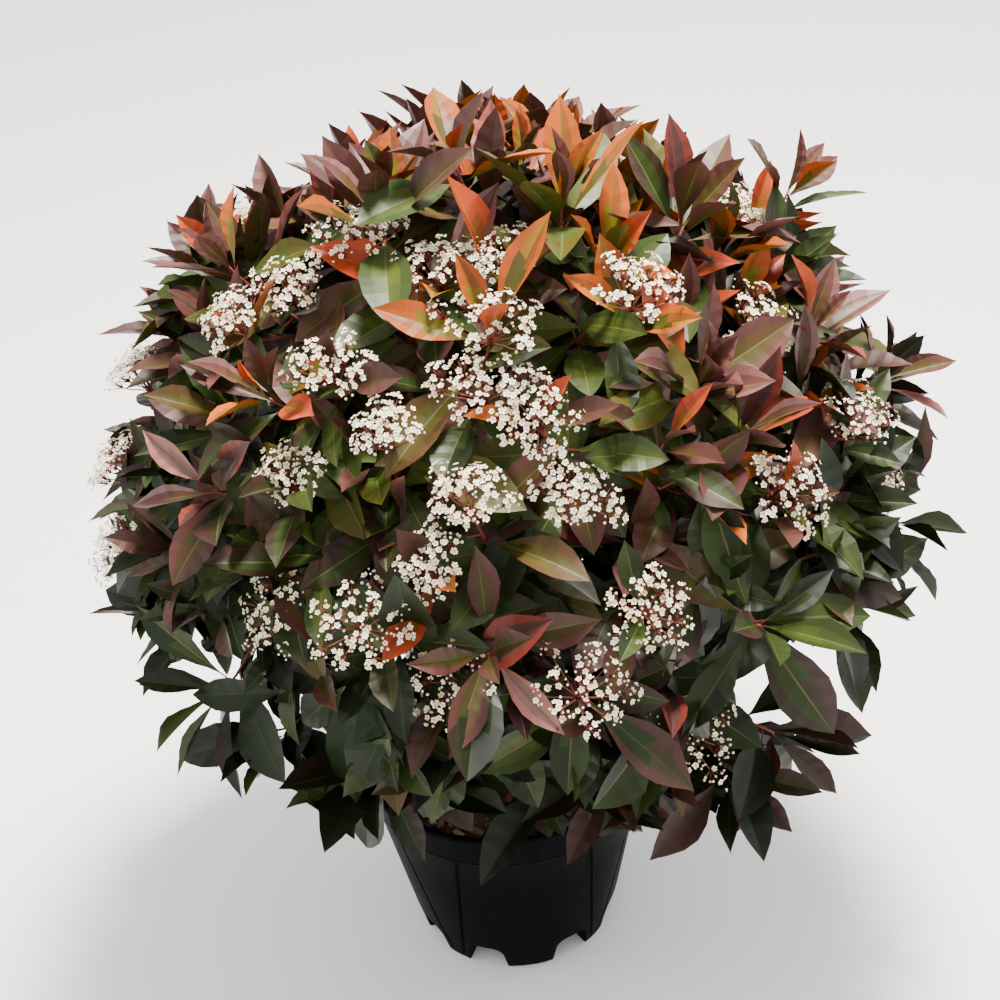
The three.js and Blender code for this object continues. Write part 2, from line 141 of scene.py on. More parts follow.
floor_shape = bmesh.new()
bmesh.ops.create_grid(floor_shape, x_segments=1, y_segments=1, size=FLOOR_SIZE / 2)
floor = as_object("floor", floor_shape)
floor.data.materials.append(plain_finish("floor", FLOOR_COLOUR, 0.9))
floor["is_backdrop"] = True


# Pot. A round container moulded in one piece from near-black plastic, with a rolled lip,
# a plain band under it, four wide flat-sided panels between narrow upright grooves, and
# eight feet with deep round-topped arches between them that let water out.
POT_HEIGHT = 0.261
RIM_RADIUS = 0.175
BASE_RADIUS = 0.117
POT_WALL = 0.003
HOLLOW_TOP = POT_HEIGHT + 0.01
POT_SIDES = 120
BASE_ROUNDING = 0.008
LIP_HEIGHT = 0.009
LIP_OVERHANG = 0.004
FOOT_TURN = 4.5
ARCH_TURN = 25.5
ARCH_WIDTH = 0.044
ARCH_HEIGHT = 0.040
ARCH_DEPTH = 0.045
ARCH_ROUNDING = 0.014
ARCH_TAPER = 0.003
PANEL_HALF_WIDTH = 0.078
PANEL_FOOT = 0.012
PANEL_TOP = 0.209
GROOVE_WIDTH = 0.0035
GROOVE_DEPTH = 0.0022
BEAD_RADIUS = 0.0008  # the small step where the panels end and the plain band begins
LIP_ROUNDING = 0.003
LIP_INNER_ROUNDING = 0.0015
LIP_WIDTH = 0.0075
POT_SMOOTH_ANGLE = 28
PLASTIC_COLOUR = (0.0011, 0.0014, 0.0017)
PLASTIC_WORN = (0.0024, 0.0028, 0.0033)
DUST_COLOUR = (0.011, 0.010, 0.008)


class Wire:
    """A node's output that can be used in sums. Its node method adds any other node."""

    def __init__(self, socket):
        self.socket = socket

    def node(self, kind, settings=None, inputs=None, output=0):
        tree = self.socket.id_data
        made = tree.nodes.new("ShaderNode" + kind)
        for name, value in (settings or {}).items():
            if name != "stops":
                setattr(made, name, value)
                continue
            stops = made.color_ramp.elements
            while len(stops) < len(value):
                stops.new(0.5)
            for stop, (place, colour) in zip(stops, value):
                stop.position = place
                stop.color = (*colour, 1.0)
        for name, value in (inputs or {}).items():
            if isinstance(value, Wire):
                tree.links.new(value.socket, made.inputs[name])
            else:
                made.inputs[name].default_value = value
        return Wire(made.outputs[output])

    def maths(self, operation, *pair):
        return self.node("Math", {"operation": operation}, dict(enumerate(pair)))

    def __add__(self, other):
        return self.maths("ADD", self, other)

    def __sub__(self, other):
        return self.maths("SUBTRACT", self, other)

    def __rsub__(self, other):
        return self.maths("SUBTRACT", other, self)

    def __mul__(self, other):
        return self.maths("MULTIPLY", self, other)

    __radd__ = __add__
    __rmul__ = __mul__

    def noise(self, scale, detail=4.0, roughness=0.55):
        sockets = {"Vector": self, "Scale": scale, "Detail": detail, "Roughness": roughness}
        return self.node("TexNoise", None, sockets)

    def stretched(self, along):
        """Coordinates that make a pattern longer up and down."""
        return self.node("Mapping", None, {"Vector": self, "Scale": (1.0, 1.0, along)})

    def bump(self, strength, distance, height):
        return self.node("Bump", None, {"Strength": strength, "Distance": distance, "Height": height})

    def between(self, low, high):
        """0 below low, 1 above high and a smooth step from one to the other."""
        settings = {"interpolation_type": "SMOOTHSTEP"}
        return self.node("MapRange", settings, {"Value": self, "From Min": low, "From Max": high})

    def blend(self, first, second):
        """The first colour where this is 0 and the second where it is 1."""
        colours = [c if isinstance(c, Wire) else (*c, 1.0) for c in (first, second)]
        inputs = {0: self, 6: colours[0], 7: colours[1]}
        return self.node("Mix", {"data_type": "RGBA"}, inputs, 2)


def patterned_finish(name, make, roughness=0.5, shine=0.5):
    """A material whose sockets come from make, which is given the object's own coordinates."""
    material = plain_finish(name, (0.5, 0.5, 0.5), roughness, shine)
    tree = material.node_tree
    shader = tree.nodes["Principled BSDF"]
    place = Wire(tree.nodes.new("ShaderNodeTexCoord").outputs["Object"])
    for socket, wire in make(place).items():
        tree.links.new(wire.socket, shader.inputs[socket])
    return material


def moulded_plastic(place):
    scuffs = place.stretched(0.25).noise(60.0, 6.0)
    height = place.node("SeparateXYZ", None, {0: place}, 2)
    splash = (1.0 - height.between(0.0, 0.07)) * place.noise(38.0, 8.0, 0.7).between(0.46, 0.7)
    dust = splash * 0.5 + scuffs.between(0.62, 0.8) * 0.12
    colour = dust.blend(scuffs.between(0.45, 0.75).blend(PLASTIC_COLOUR, PLASTIC_WORN), DUST_COLOUR)
    grain = place.noise(900.0, 2.0)
    ripple = place.noise(14.0, 3.0)
    bump = place.bump(0.35, 0.0012, grain * 0.12 + ripple * 1.4 + scuffs * 0.3)
    return {"Base Color": colour, "Roughness": 0.34 + scuffs * 0.22 + dust * 0.4, "Normal": bump}


def wall_radius(height):
    return BASE_RADIUS + (RIM_RADIUS - LIP_OVERHANG - BASE_RADIUS) * height / POT_HEIGHT


def spun(profile, sides):
    """A closed solid of revolution round Z from (radius, height) points, both ends on the axis."""
    shape = bmesh.new()
    corners = [shape.verts.new((radius, 0.0, height)) for radius, height in profile]
    edges = [shape.edges.new(pair) for pair in zip(corners, corners[1:])]
    bmesh.ops.spin(
        shape, geom=corners + edges, axis=(0, 0, 1), cent=(0, 0, 0),
        angle=2 * np.pi, steps=sides, use_merge=True,
    )
    bmesh.ops.remove_doubles(shape, verts=shape.verts, dist=1e-6)
    bmesh.ops.recalc_face_normals(shape, faces=shape.faces)
    return shape


def cut(target, tool):
    """Cuts the tool's shape out of the target and removes the tool."""
    step = target.modifiers.new("cut", "BOOLEAN")
    step.operation = "DIFFERENCE"
    step.solver = "EXACT"
    step.use_self = True
    step.object = tool
    view = bpy.context.evaluated_depsgraph_get()
    result = bpy.data.meshes.new_from_object(target.evaluated_get(view))
    target.modifiers.clear()
    target.data = result
    bpy.data.objects.remove(tool)


def rounded(centre_radius, centre_height, radius, start, end, steps=5):
    """Points of an arc in the profile's plane, in degrees from outwards to up."""
    angles = np.radians(np.linspace(start, end, steps))
    return [(centre_radius + radius * np.cos(a), centre_height + radius * np.sin(a)) for a in angles]


def foot_arches(margin):
    half = ARCH_WIDTH / 2 + margin
    top = ARCH_HEIGHT + margin
    corner = np.radians(np.linspace(0, 90, 6))
    side, crown = half - ARCH_ROUNDING, top - ARCH_ROUNDING
    outline = [(half + ARCH_TAPER, -POT_WALL)]
    outline += [(side + ARCH_ROUNDING * np.cos(a), crown + ARCH_ROUNDING * np.sin(a)) for a in corner]
    outline += [(-x, z) for x, z in reversed(outline)]
    shape = bmesh.new()
    for quarter in range(4):
        for turn in (-ARCH_TURN, ARCH_TURN):
            inner = BASE_RADIUS - ARCH_DEPTH - margin
            face = shape.faces.new([shape.verts.new((x, -inner, z)) for x, z in outline])
            pushed = bmesh.ops.extrude_face_region(shape, geom=[face])
            ends = [v for v in pushed["geom"] if isinstance(v, bmesh.types.BMVert)]
            bmesh.ops.translate(shape, verts=ends, vec=(0, inner - RIM_RADIUS, 0))
            block = ends + list(face.verts)
            spin = turned(FOOT_TURN + quarter * 90 + turn, "Z")
            bmesh.ops.rotate(shape, verts=block, cent=(0, 0, 0), matrix=spin)
    bmesh.ops.recalc_face_normals(shape, faces=shape.faces)
    return shape


def panel_grooves():
    """Slim bars that stand along the wall on both sides of each wide panel."""
    shape = bmesh.new()
    foot = np.sqrt(wall_radius(PANEL_FOOT) ** 2 - PANEL_HALF_WIDTH ** 2)
    head = np.sqrt(wall_radius(PANEL_TOP) ** 2 - PANEL_HALF_WIDTH ** 2)
    run = PANEL_TOP - PANEL_FOOT
    slope = np.degrees(np.arctan2(head - foot, run))
    for quarter in range(4):
        for side in (-1, 1):
            bar = bmesh.ops.create_cube(shape, size=1.0)["verts"]
            length = np.hypot(run, head - foot)
            bmesh.ops.scale(shape, verts=bar, vec=(GROOVE_WIDTH, 2 * GROOVE_DEPTH, length))
            bmesh.ops.rotate(shape, verts=bar, cent=(0, 0, 0), matrix=turned(slope, "X"))
            middle = (side * PANEL_HALF_WIDTH, -(foot + head) / 2, PANEL_FOOT + run / 2)
            bmesh.ops.translate(shape, verts=bar, vec=middle)
            spin = turned(FOOT_TURN + quarter * 90, "Z")
            bmesh.ops.rotate(shape, verts=bar, cent=(0, 0, 0), matrix=spin)
    return shape


def place_piece(made, slot, *nodes):
    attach(made, "root")
    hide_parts(*nodes)


lip_low = POT_HEIGHT - LIP_HEIGHT
pot = as_object("pot", spun(
    [(0, 0)]
    + rounded(wall_radius(0) - BASE_ROUNDING, BASE_ROUNDING, BASE_ROUNDING, -90, -8)
    + [(wall_radius(h), h) for h in (0.05, 0.1, 0.15, PANEL_TOP)]
    + rounded(wall_radius(PANEL_TOP + 0.002) + 0.0004, PANEL_TOP + 0.003, BEAD_RADIUS, -60, 60, 3)
    + [(wall_radius(lip_low - 0.003), lip_low - 0.003)]
    + rounded(RIM_RADIUS - LIP_ROUNDING, lip_low + LIP_ROUNDING, LIP_ROUNDING, -70, 0, 4)
    + rounded(RIM_RADIUS - LIP_ROUNDING, POT_HEIGHT - LIP_ROUNDING, LIP_ROUNDING, 0, 90)
    + rounded(RIM_RADIUS - LIP_WIDTH, POT_HEIGHT - LIP_INNER_ROUNDING, LIP_INNER_ROUNDING, 90, 180, 3)
    + [(0, POT_HEIGHT - LIP_INNER_ROUNDING)],
    POT_SIDES,
))
cut(pot, as_object("arches", foot_arches(0)))
cut(pot, as_object("grooves", panel_grooves()))
hollow = as_object("hollow", spun([
    (0, POT_WALL),
    (wall_radius(POT_WALL) - POT_WALL - BASE_ROUNDING / 2, POT_WALL),
    (wall_radius(BASE_ROUNDING) - POT_WALL, BASE_ROUNDING),
    (wall_radius(HOLLOW_TOP) - POT_WALL, HOLLOW_TOP),
    (0, HOLLOW_TOP),
], POT_SIDES))
cut(hollow, as_object("arches", foot_arches(POT_WALL)))
cut(pot, hollow)
pot.data.shade_smooth()
pot.data.set_sharp_from_angle(angle=np.radians(POT_SMOOTH_ANGLE))
pot.data.materials.clear()
pot.data.materials.append(patterned_finish("black_plastic", moulded_plastic, 0.45, 0.02))
place_piece(pot, "pot", "pot")


# Compost. Damp brown potting mix that fills the pot to 25 mm under its rim. Its surface is
# uneven, and bark chips, bits of stem and old fallen leaves lie on it.
COMPOST_LEVEL = 0.236
COMPOST_FALL = 0.005
FALL_START = 0.35  # of the way to the wall
COMPOST_SKIN = 0.03
WALL_CLEARANCE = 0.0006
SURFACE_RINGS = 34
SURFACE_SIDES = 132
CHIP_COUNT = 520
CHIP_LENGTHS = (0.004, 0.016)  # the least, and how much more the longest have
CHIP_THICKNESS = 0.0022
CHIP_LEVEL = COMPOST_LEVEL + 0.0012 - COMPOST_FALL * 0.4
CHIP_COLOURS = ((0.035, 0.018, 0.009), (0.085, 0.038, 0.016), (0.15, 0.075, 0.034), (0.3, 0.2, 0.11))
dice = np.random.default_rng(7)


def object_from(name, points, faces, finishes, slots=None, smooth=True):
    """An object from an array of points and one of equal-sided faces, with a material per face."""
    mesh = bpy.data.meshes.new(name)
    sides = faces.shape[1]
    mesh.vertices.add(len(points))
    mesh.vertices.foreach_set("co", np.ascontiguousarray(points, np.float32).ravel())
    mesh.loops.add(faces.size)
    mesh.loops.foreach_set("vertex_index", np.ascontiguousarray(faces, np.int32).ravel())
    mesh.polygons.add(len(faces))
    mesh.polygons.foreach_set("loop_start", np.arange(0, faces.size, sides, dtype=np.int32))
    if slots is not None:
        mesh.polygons.foreach_set("material_index", np.ascontiguousarray(slots, np.int32))
    mesh.polygons.foreach_set("use_smooth", np.full(len(faces), smooth))
    mesh.update(calc_edges=True)
    mesh.validate()
    for finish in finishes:
        mesh.materials.append(finish)
    return add_object(name, mesh)


def loose_compost(place):
    clods = place.noise(70.0, 8.0, 0.65)
    crumbs = place.noise(420.0, 4.0, 0.6)
    colour = clods.node("ValToRGB", {"stops": (
        (0.3, (0.014, 0.009, 0.005)), (0.52, (0.050, 0.029, 0.016)), (0.75, (0.12, 0.068, 0.036)),
    )}, {0: clods * 0.6 + crumbs * 0.4})
    return {"Base Color": colour, "Normal": place.bump(0.8, 0.003, clods + crumbs * 0.5)}


inner_wall = wall_radius(COMPOST_LEVEL) - POT_WALL - WALL_CLEARANCE
surface = [
    (r, COMPOST_LEVEL - COMPOST_FALL * max(0.0, r / inner_wall - FALL_START))
    for r in np.linspace(0, inner_wall, SURFACE_RINGS)
]
skin = COMPOST_LEVEL - COMPOST_SKIN
edge = wall_radius(skin) - POT_WALL - WALL_CLEARANCE
soil = spun([*surface, (edge, skin), (0, skin)], SURFACE_SIDES)
for corner in soil.verts:
    reach = np.hypot(corner.co.x, corner.co.y)
    if corner.co.z > skin + 0.001 and reach < inner_wall - 0.002:
        lumps = noise.noise(corner.co * 45.0) * 0.0032 + noise.noise(corner.co * 160.0) * 0.0016
        corner.co.z += lumps - 0.0006
compost = as_object("compost", soil, 60)
compost.data.materials.append(patterned_finish("compost", loose_compost, 0.95, 0.2))
place_piece(compost, "compost", "compost")

radii = inner_wall * 0.96 * np.sqrt(dice.random(CHIP_COUNT))
turns = dice.random(CHIP_COUNT) * 2 * np.pi
chips = bmesh.new()
for number in range(CHIP_COUNT):
    chip = bmesh.ops.create_cube(chips, size=1.0)["verts"]
    length = CHIP_LENGTHS[0] + CHIP_LENGTHS[1] * dice.random() ** 2
    width = length * (0.25 + 0.3 * dice.random())
    bmesh.ops.scale(chips, verts=chip, vec=(length, width, CHIP_THICKNESS))
    bmesh.ops.scale(chips, verts=chip[:4], vec=(0.9, 0.8, 0.8))
    tilt = turned(dice.random() * 360, "Z") @ turned(dice.random() * 50 - 25, "X")
    bmesh.ops.rotate(chips, verts=chip, cent=(0, 0, 0), matrix=tilt)
    spot = (radii[number] * np.cos(turns[number]), radii[number] * np.sin(turns[number]))
    bmesh.ops.translate(chips, verts=chip, vec=(*spot, CHIP_LEVEL))
    for face in {f for v in chip for f in v.link_faces}:
        face.material_index = number % len(CHIP_COLOURS)
bark_chips = as_object("bark_chips", chips)
for number, colour in enumerate(CHIP_COLOURS):
    bark_chips.data.materials.append(plain_finish(f"chip_{number}", colour, 0.9))
place_piece(bark_chips, "compost", "compost")


# Stem and boughs. Woody limbs with thin grey-brown bark, ridged and dotted with pores. A short
# stem flares where it meets the compost and forks into leaders, which carry the side boughs.
STEM_HEIGHT = 0.078
STEM_LEAN = 0.006
FLARE_RADIUS = 0.025
FLARE_HEIGHT = 0.028
STEM_RADIUS = 0.016
FORK_RADIUS = 0.013
LEADERS = 5
LEADER_RADIUS = 0.008
LEADER_DROP = 0.030
LEADER_STEP = 0.004
LEADER_RISE = 42
SIDE_BOUGH_RADIUS = 0.0055
BOUGH_TIP_RADIUS = 0.004
SIDE_BOUGHS = (  # ring, place in it, share of the leader's length, elevation
    ("lower", 1, 0.2, 12), ("lower", 2, 0.3, 12), ("middle", 0, 0.46, 25), ("middle", 1, 0.56, 25),
)
STEM_STEPS, STEM_SIDES = 26, 40
BOUGH_STEPS, BOUGH_SIDES = 34, 16
COLLAR = 0.35  # how much thicker a bough is where it leaves the stem
FACE_GAP = 0.0003
BARK_RELIEF = 0.09  # of a limb's own radius
CROWN_CENTRE = np.array((0.031, 0.0, 0.615))
CROWN_REACH = np.array((0.462, 0.462, 0.451))
CROWN_DROP = 0.395
CROWN_TAPER = 1.6
GROWTH_POINT = np.array((0.012, 0.0, 0.470))
ROOT_REACH = 0.42
RINGS = (  # name, elevation, first azimuth, masses
    ("top", 83, 0, 1), ("upper", 47, 36, 5), ("middle", 11, 18, 10), ("lower", -27, 0, 10),
)
BARK_DARK = (0.035, 0.021, 0.014)
BARK_LIGHT = (0.17, 0.125, 0.09)
BARK_GREY = (0.24, 0.22, 0.19)
UP = np.array((0.0, 0.0, 1.0))


def unit(vector):
    return vector / np.maximum(np.linalg.norm(vector, axis=-1, keepdims=True), 1e-12)


def direction(azimuth, elevation):
    a, e = np.radians(azimuth), np.radians(elevation)
    return np.array((np.sin(a) * np.cos(e), -np.cos(a) * np.cos(e), np.sin(e)))


def crown_reach(offset):
    below = np.broadcast_to((CROWN_REACH[0], CROWN_REACH[1], CROWN_DROP), offset.shape)
    return np.where(offset[..., 2:] < 0, below, CROWN_REACH)


def reach_share(offset):
    """The share of the way to the crown's outline, of an offset in shares of its reach."""
    power = np.where(offset[..., 2] < 0, CROWN_TAPER, 2)
    level = np.hypot(offset[..., 0], offset[..., 1])
    return (level ** power + np.abs(offset[..., 2]) ** power) ** (1 / power)


def outline_point(heading, share):
    return CROWN_CENTRE + heading * crown_reach(heading) * share / reach_share(heading)


def outline_share(point):
    offset = point - CROWN_CENTRE
    return reach_share(offset / crown_reach(offset))


def bezier(points, count):
    """Points along a cubic curve from its four control points."""
    t = np.linspace(0, 1, count)[:, None]
    p0, p1, p2, p3 = points
    return (1 - t) ** 3 * p0 + 3 * t * (1 - t) ** 2 * p1 + 3 * t ** 2 * (1 - t) * p2 + t ** 3 * p3


def grow_limb(shape, path, radii, sides):
    """Pushes a round face out along the path, turned and scaled at each step."""
    ahead = [Vector(a) for a in unit(np.gradient(path, axis=0))]
    ring = bmesh.ops.create_circle(shape, cap_ends=True, segments=sides, radius=radii[0])["verts"]
    facing = Vector((0, 0, -1)).rotation_difference(-ahead[0]).to_matrix()
    for corner in ring:
        corner.co = Vector(path[0]) + facing @ corner.co
    face = ring[0].link_faces[0]
    for k in range(1, len(path)):
        pushed = bmesh.ops.extrude_face_region(shape, geom=[face])["geom"]
        face = next(part for part in pushed if isinstance(part, bmesh.types.BMFace))
        bend = ahead[k - 1].rotation_difference(ahead[k]).to_matrix()
        for corner in face.verts:
            spoke = bend @ (corner.co - Vector(path[k - 1])) * (radii[k] / radii[k - 1])
            corner.co = Vector(path[k]) + spoke


def raise_bark(shape, radius):
    """Ridges that run along the limbs, as deep as suits their radius."""
    shape.normal_update()
    for corner in shape.verts:
        spot = Vector((corner.co.x * 260, corner.co.y * 260, corner.co.z * 70))
        ridge = noise.noise(spot) + 0.5 * noise.noise(spot * 2.7)
        corner.co += corner.normal * ridge * BARK_RELIEF * radius


def ridged_bark(place):
    streaks = place.stretched(0.3).noise(180.0, 6.0, 0.6)
    patches = place.noise(35.0, 4.0)
    pores = place.noise(520.0, 2.0).between(0.62, 0.7)
    colour = streaks.between(0.35, 0.65).blend(BARK_DARK, BARK_LIGHT)
    colour = (patches.between(0.5, 0.7) * 0.55).blend(colour, BARK_GREY)
    colour = (pores * 0.5).blend(colour, BARK_GREY)
    return {"Base Color": colour, "Normal": place.bump(0.7, 0.0012, streaks + pores * 0.6)}


masses = []
for ring, elevation, first, count in RINGS:
    for number in range(count):
        azimuth = first + number * 360 / count
        end = outline_point(direction(azimuth, elevation), 1)
        reach = np.linalg.norm(end - GROWTH_POINT)
        axis = (end - GROWTH_POINT) / reach
        label = f"{ring}_{number + 1}" if count > 1 else ring
        masses.append(SimpleNamespace(
            ring=ring, number=number, azimuth=azimuth, axis=axis, reach=reach,
            root=GROWTH_POINT + axis * ROOT_REACH * reach,
            bough=f"bough_{label}", foliage=f"foliage_{label}",
        ))
by_ring = {ring: [m for m in masses if m.ring == ring] for ring, *_ in RINGS}

ground = COMPOST_LEVEL + FACE_GAP
fork = ground + STEM_HEIGHT
climb = np.linspace(0, 1, STEM_STEPS)
flare = climb * STEM_HEIGHT / FLARE_HEIGHT
trunk = np.interp(flare, (0, 1 / 3, 1, STEM_HEIGHT / FLARE_HEIGHT), (
    FLARE_RADIUS, (FLARE_RADIUS + STEM_RADIUS) / 2, STEM_RADIUS, FORK_RADIUS,
))
wood = spun([(0, ground), *zip(trunk, ground + climb * STEM_HEIGHT), (0, fork)], STEM_SIDES)
raise_bark(wood, STEM_RADIUS)
for corner in wood.verts:
    rise = (corner.co.z - ground) / STEM_HEIGHT
    corner.co.z = max(corner.co.z, ground)
    corner.co.x += STEM_LEAN * max(rise, 0) ** 2
bark = patterned_finish("bark", ridged_bark, 0.85, 0.25)
stem = as_object("stem", wood, 80)
stem.data.materials.append(bark)
place_piece(stem, "bark", "stem")

limbs = bmesh.new()


def add_bough(mass, start, heading, base_radius):
    """A limb from its start to the foot of its mass's stem. Returns its path."""
    end = mass.root - mass.axis * FACE_GAP
    third = np.linalg.norm(end - start) / 3
    path = bezier((start, start + heading * third, end - mass.axis * third, end), BOUGH_STEPS)
    collar = 1 + COLLAR * np.exp(-np.linspace(0, 12, BOUGH_STEPS))
    grow_limb(limbs, path, np.linspace(base_radius, BOUGH_TIP_RADIUS, BOUGH_STEPS) * collar, BOUGH_SIDES)
    return path


add_bough(by_ring["top"][0], np.array((STEM_LEAN, 0, fork - 0.003)), UP, LEADER_RADIUS)
for k, upper in enumerate(by_ring["upper"]):
    start = np.array((STEM_LEAN / 2, 0, fork - LEADER_DROP + LEADER_STEP * (2 * k % LEADERS)))
    leader = add_bough(upper, start, direction(upper.azimuth, LEADER_RISE), LEADER_RADIUS)
    for ring, place, share, elevation in SIDE_BOUGHS:
        mass = by_ring[ring][(2 * k + place) % len(by_ring[ring])]
        begin = leader[round(share * (len(leader) - 1))]
        add_bough(mass, begin, direction(mass.azimuth, elevation), SIDE_BOUGH_RADIUS)
raise_bark(limbs, SIDE_BOUGH_RADIUS)
boughs = as_object("boughs", limbs, 80)
boughs.data.materials.append(bark)
place_piece(boughs, "bark", *[m.bough for m in masses])


# The crown's plan. Shoot tips are spread evenly over the crown. Each mass's stem forks into its
# main shoots, and each of these into finer ones that turn up to the light and carry the leaves.
# Some shoots end in a head of small white flowers, and a few stray ones stand out low down.
GOLDEN_ANGLE = 137.508
GOLDEN_SHARE = 0.618034
MAIN_COUNT = 118
FINE_COUNT = 310
LOWEST_SHOOT = -58
SHOOT_REACH = 0.77
SHOOT_REACH_SCATTER = 0.06
SHOOT_TURN_SCATTER = 8
FORK_REACH = (0.5, 0.64)
SHOOT_SLANT = 1.1
FINE_REACH = (0.70, 0.88)
HEAD_REACH = (0.80, 0.90)
LIGHT_PULL = 0.9
HEAD_LIFT = 0.45
BRANCHING = (0.35, 0.5)  # where fine shoots leave a main one: the first, and how far on the last
WANDER = 0.3
SHOOT_STEPS = 9
# How far leaves reach, as shares of the way to the outline.
LEAFY_LIMITS = (0.96, 0.12)  # the least, and how much further some reach
STRAY_LIMITS = (1.16, 1.09)  # low down and at the top
SPARSE_BELOW = -0.18
SPARSE_SHARE = 0.3
# Flower heads on the front and sides: elevation, then azimuths.
HEAD_RINGS = (
    (66, (-53, -21, 1)), (55, (-63, -3, 31)), (47, (-115, -63, -35, -5)),
    (43, (5, 60, 100)), (40, (-21,)), (32, (-38, -7, 9)), (23, (-93, -13, 41, 60)),
    (15, (-23, 16)), (11, (-86, -37)), (5, (-11, 6)), (2, (-79, 79)), (-15, (24,)),
)
SIDE_HEADS = -75  # the heads beyond this azimuth, at the left, stand out
SIDE_HEAD_REACH = 0.88
BACK_HEADS = 17
BACK_SPAN = (112, 248)  # azimuths
BACK_ELEVATION, BACK_FALL = 46, 54
# Stray shoots: azimuth, elevation, share of the way to the outline.
STRAYS = (
    (42, -25, 0.93), (33, -30, 0.97), (-57, -14, 0.92), (-48, -24, 0.86), (60, -9, 0.84),
    (-30, -27, 0.84), (6, -33, 0.84), (15, -30, 0.82), (128, -22, 0.9), (171, -30, 0.88),
    (-128, -24, 0.9), (-24, 80, 0.97), (70, 61, 0.88), (-76, 52, 0.96), (-50, 70, 0.94),
    (104, 43, 0.98), (30, 72, 0.92), (150, 62, 0.9), (-140, 55, 0.88), (31, 9, 0.92), (86, 17, 0.91),
    (80, -6, 0.90),
)
# Dips in the crown's outline: azimuth, elevation, half width, depth in shares of its reach.
DIPS = ((-137, 58, 26, 0.09), (125, 64, 26, 0.14), (-66, -8, 14, 0.10))
# Gaps that let the light through low down: azimuth, elevation, half width.
GAPS = ((62, -33, 17), (-66, -36, 13), (146, -32, 13), (-152, -30, 13))
GAP_DEPTH = 0.68  # share of the way to the outline where a gap's floor is
# Narrow openings right through the crown's foot: a point, azimuth, elevation and radius.
OPENINGS = (
    ((0.300, -0.100, 0.401), 171, -39, 0.045), ((0.398, -0.050, 0.329), 168, -39, 0.050),
    ((-0.318, -0.100, 0.483), -170, -38, 0.028), ((-0.265, -0.100, 0.397), -172, -39, 0.030),
    ((-0.201, -0.120, 0.373), -174, -40, 0.024), ((-0.012, -0.200, 0.325), -180, -42, 0.030),
)


def chance(index, salt):
    wave = np.sin(index * 12.9898 + salt * 78.233) * 43758.5453
    return wave - np.floor(wave)


def lattice(count):
    """Evenly spread headings, by number, down to the lowest elevation."""
    spread = {}
    for i in range(count):
        elevation = np.degrees(np.arcsin(1 - (2 * i + 1) / count))
        if elevation >= LOWEST_SHOOT:
            spread[i] = direction(i * GOLDEN_ANGLE + SHOOT_TURN_SCATTER * (chance(i, 1) - 0.5), elevation)
    return spread


def in_opening(points):
    """Whether points lie in one of the openings."""
    inside = np.zeros(points.shape[:-1], bool)
    for spot, azimuth, elevation, radius in OPENINGS:
        run = direction(azimuth, elevation)
        off = points - np.array(spot)
        inside |= np.linalg.norm(off - (off @ run)[..., None] * run, axis=-1) < radius
    return inside


def dip(heading):
    """How much lower the crown's outline is in a heading."""
    aside = [(np.degrees(np.arccos(min(heading @ direction(a, e), 1.0))) / half, depth)
             for a, e, half, depth in DIPS]
    return sum(depth * max(0.0, 1 - share ** 2) for share, depth in aside)


axes = np.array([m.axis for m in masses])
main_shoots = []
for i, heading in lattice(MAIN_COUNT).items():
    tip = outline_point(heading, SHOOT_REACH + SHOOT_REACH_SCATTER * (chance(i, 2) - 0.5))
    mass = masses[int(np.argmax(axes @ unit(tip - GROWTH_POINT)))]
    along = np.dot(tip - mass.root, mass.axis)
    off = np.linalg.norm(tip - mass.root - mass.axis * along)
    first, last = [(share - ROOT_REACH) * mass.reach for share in FORK_REACH]
    start = mass.root + mass.axis * np.clip(along - off * SHOOT_SLANT, first, last)
    main_shoots.append(SimpleNamespace(start=start, tip=tip, mass=mass))

wanted = [
    (direction(azimuth, elevation), "head", SIDE_HEAD_REACH if azimuth < SIDE_HEADS else 0)
    for elevation, ring in HEAD_RINGS for azimuth in ring
]
for i in range(BACK_HEADS):
    azimuth = BACK_SPAN[0] + (BACK_SPAN[1] - BACK_SPAN[0]) * (i * GOLDEN_SHARE % 1)
    elevation = BACK_ELEVATION - BACK_FALL * (i + 0.5) / BACK_HEADS
    wanted.append((direction(azimuth, elevation), "head", 0))
wanted += [(direction(azimuth, elevation), "stray", share) for azimuth, elevation, share in STRAYS]

# Each wanted shoot takes the place of the nearest even one.
headings = lattice(FINE_COUNT)
numbers = np.array(list(headings))
even = np.array(list(headings.values()))
free = np.ones(len(numbers), bool)
roles = {}
for spot, role, share in wanted:
    near = int(np.argmax(np.where(free, even @ spot, -1)))
    free[near] = False
    headings[numbers[near]] = spot
    roles[numbers[near]] = (role, share)

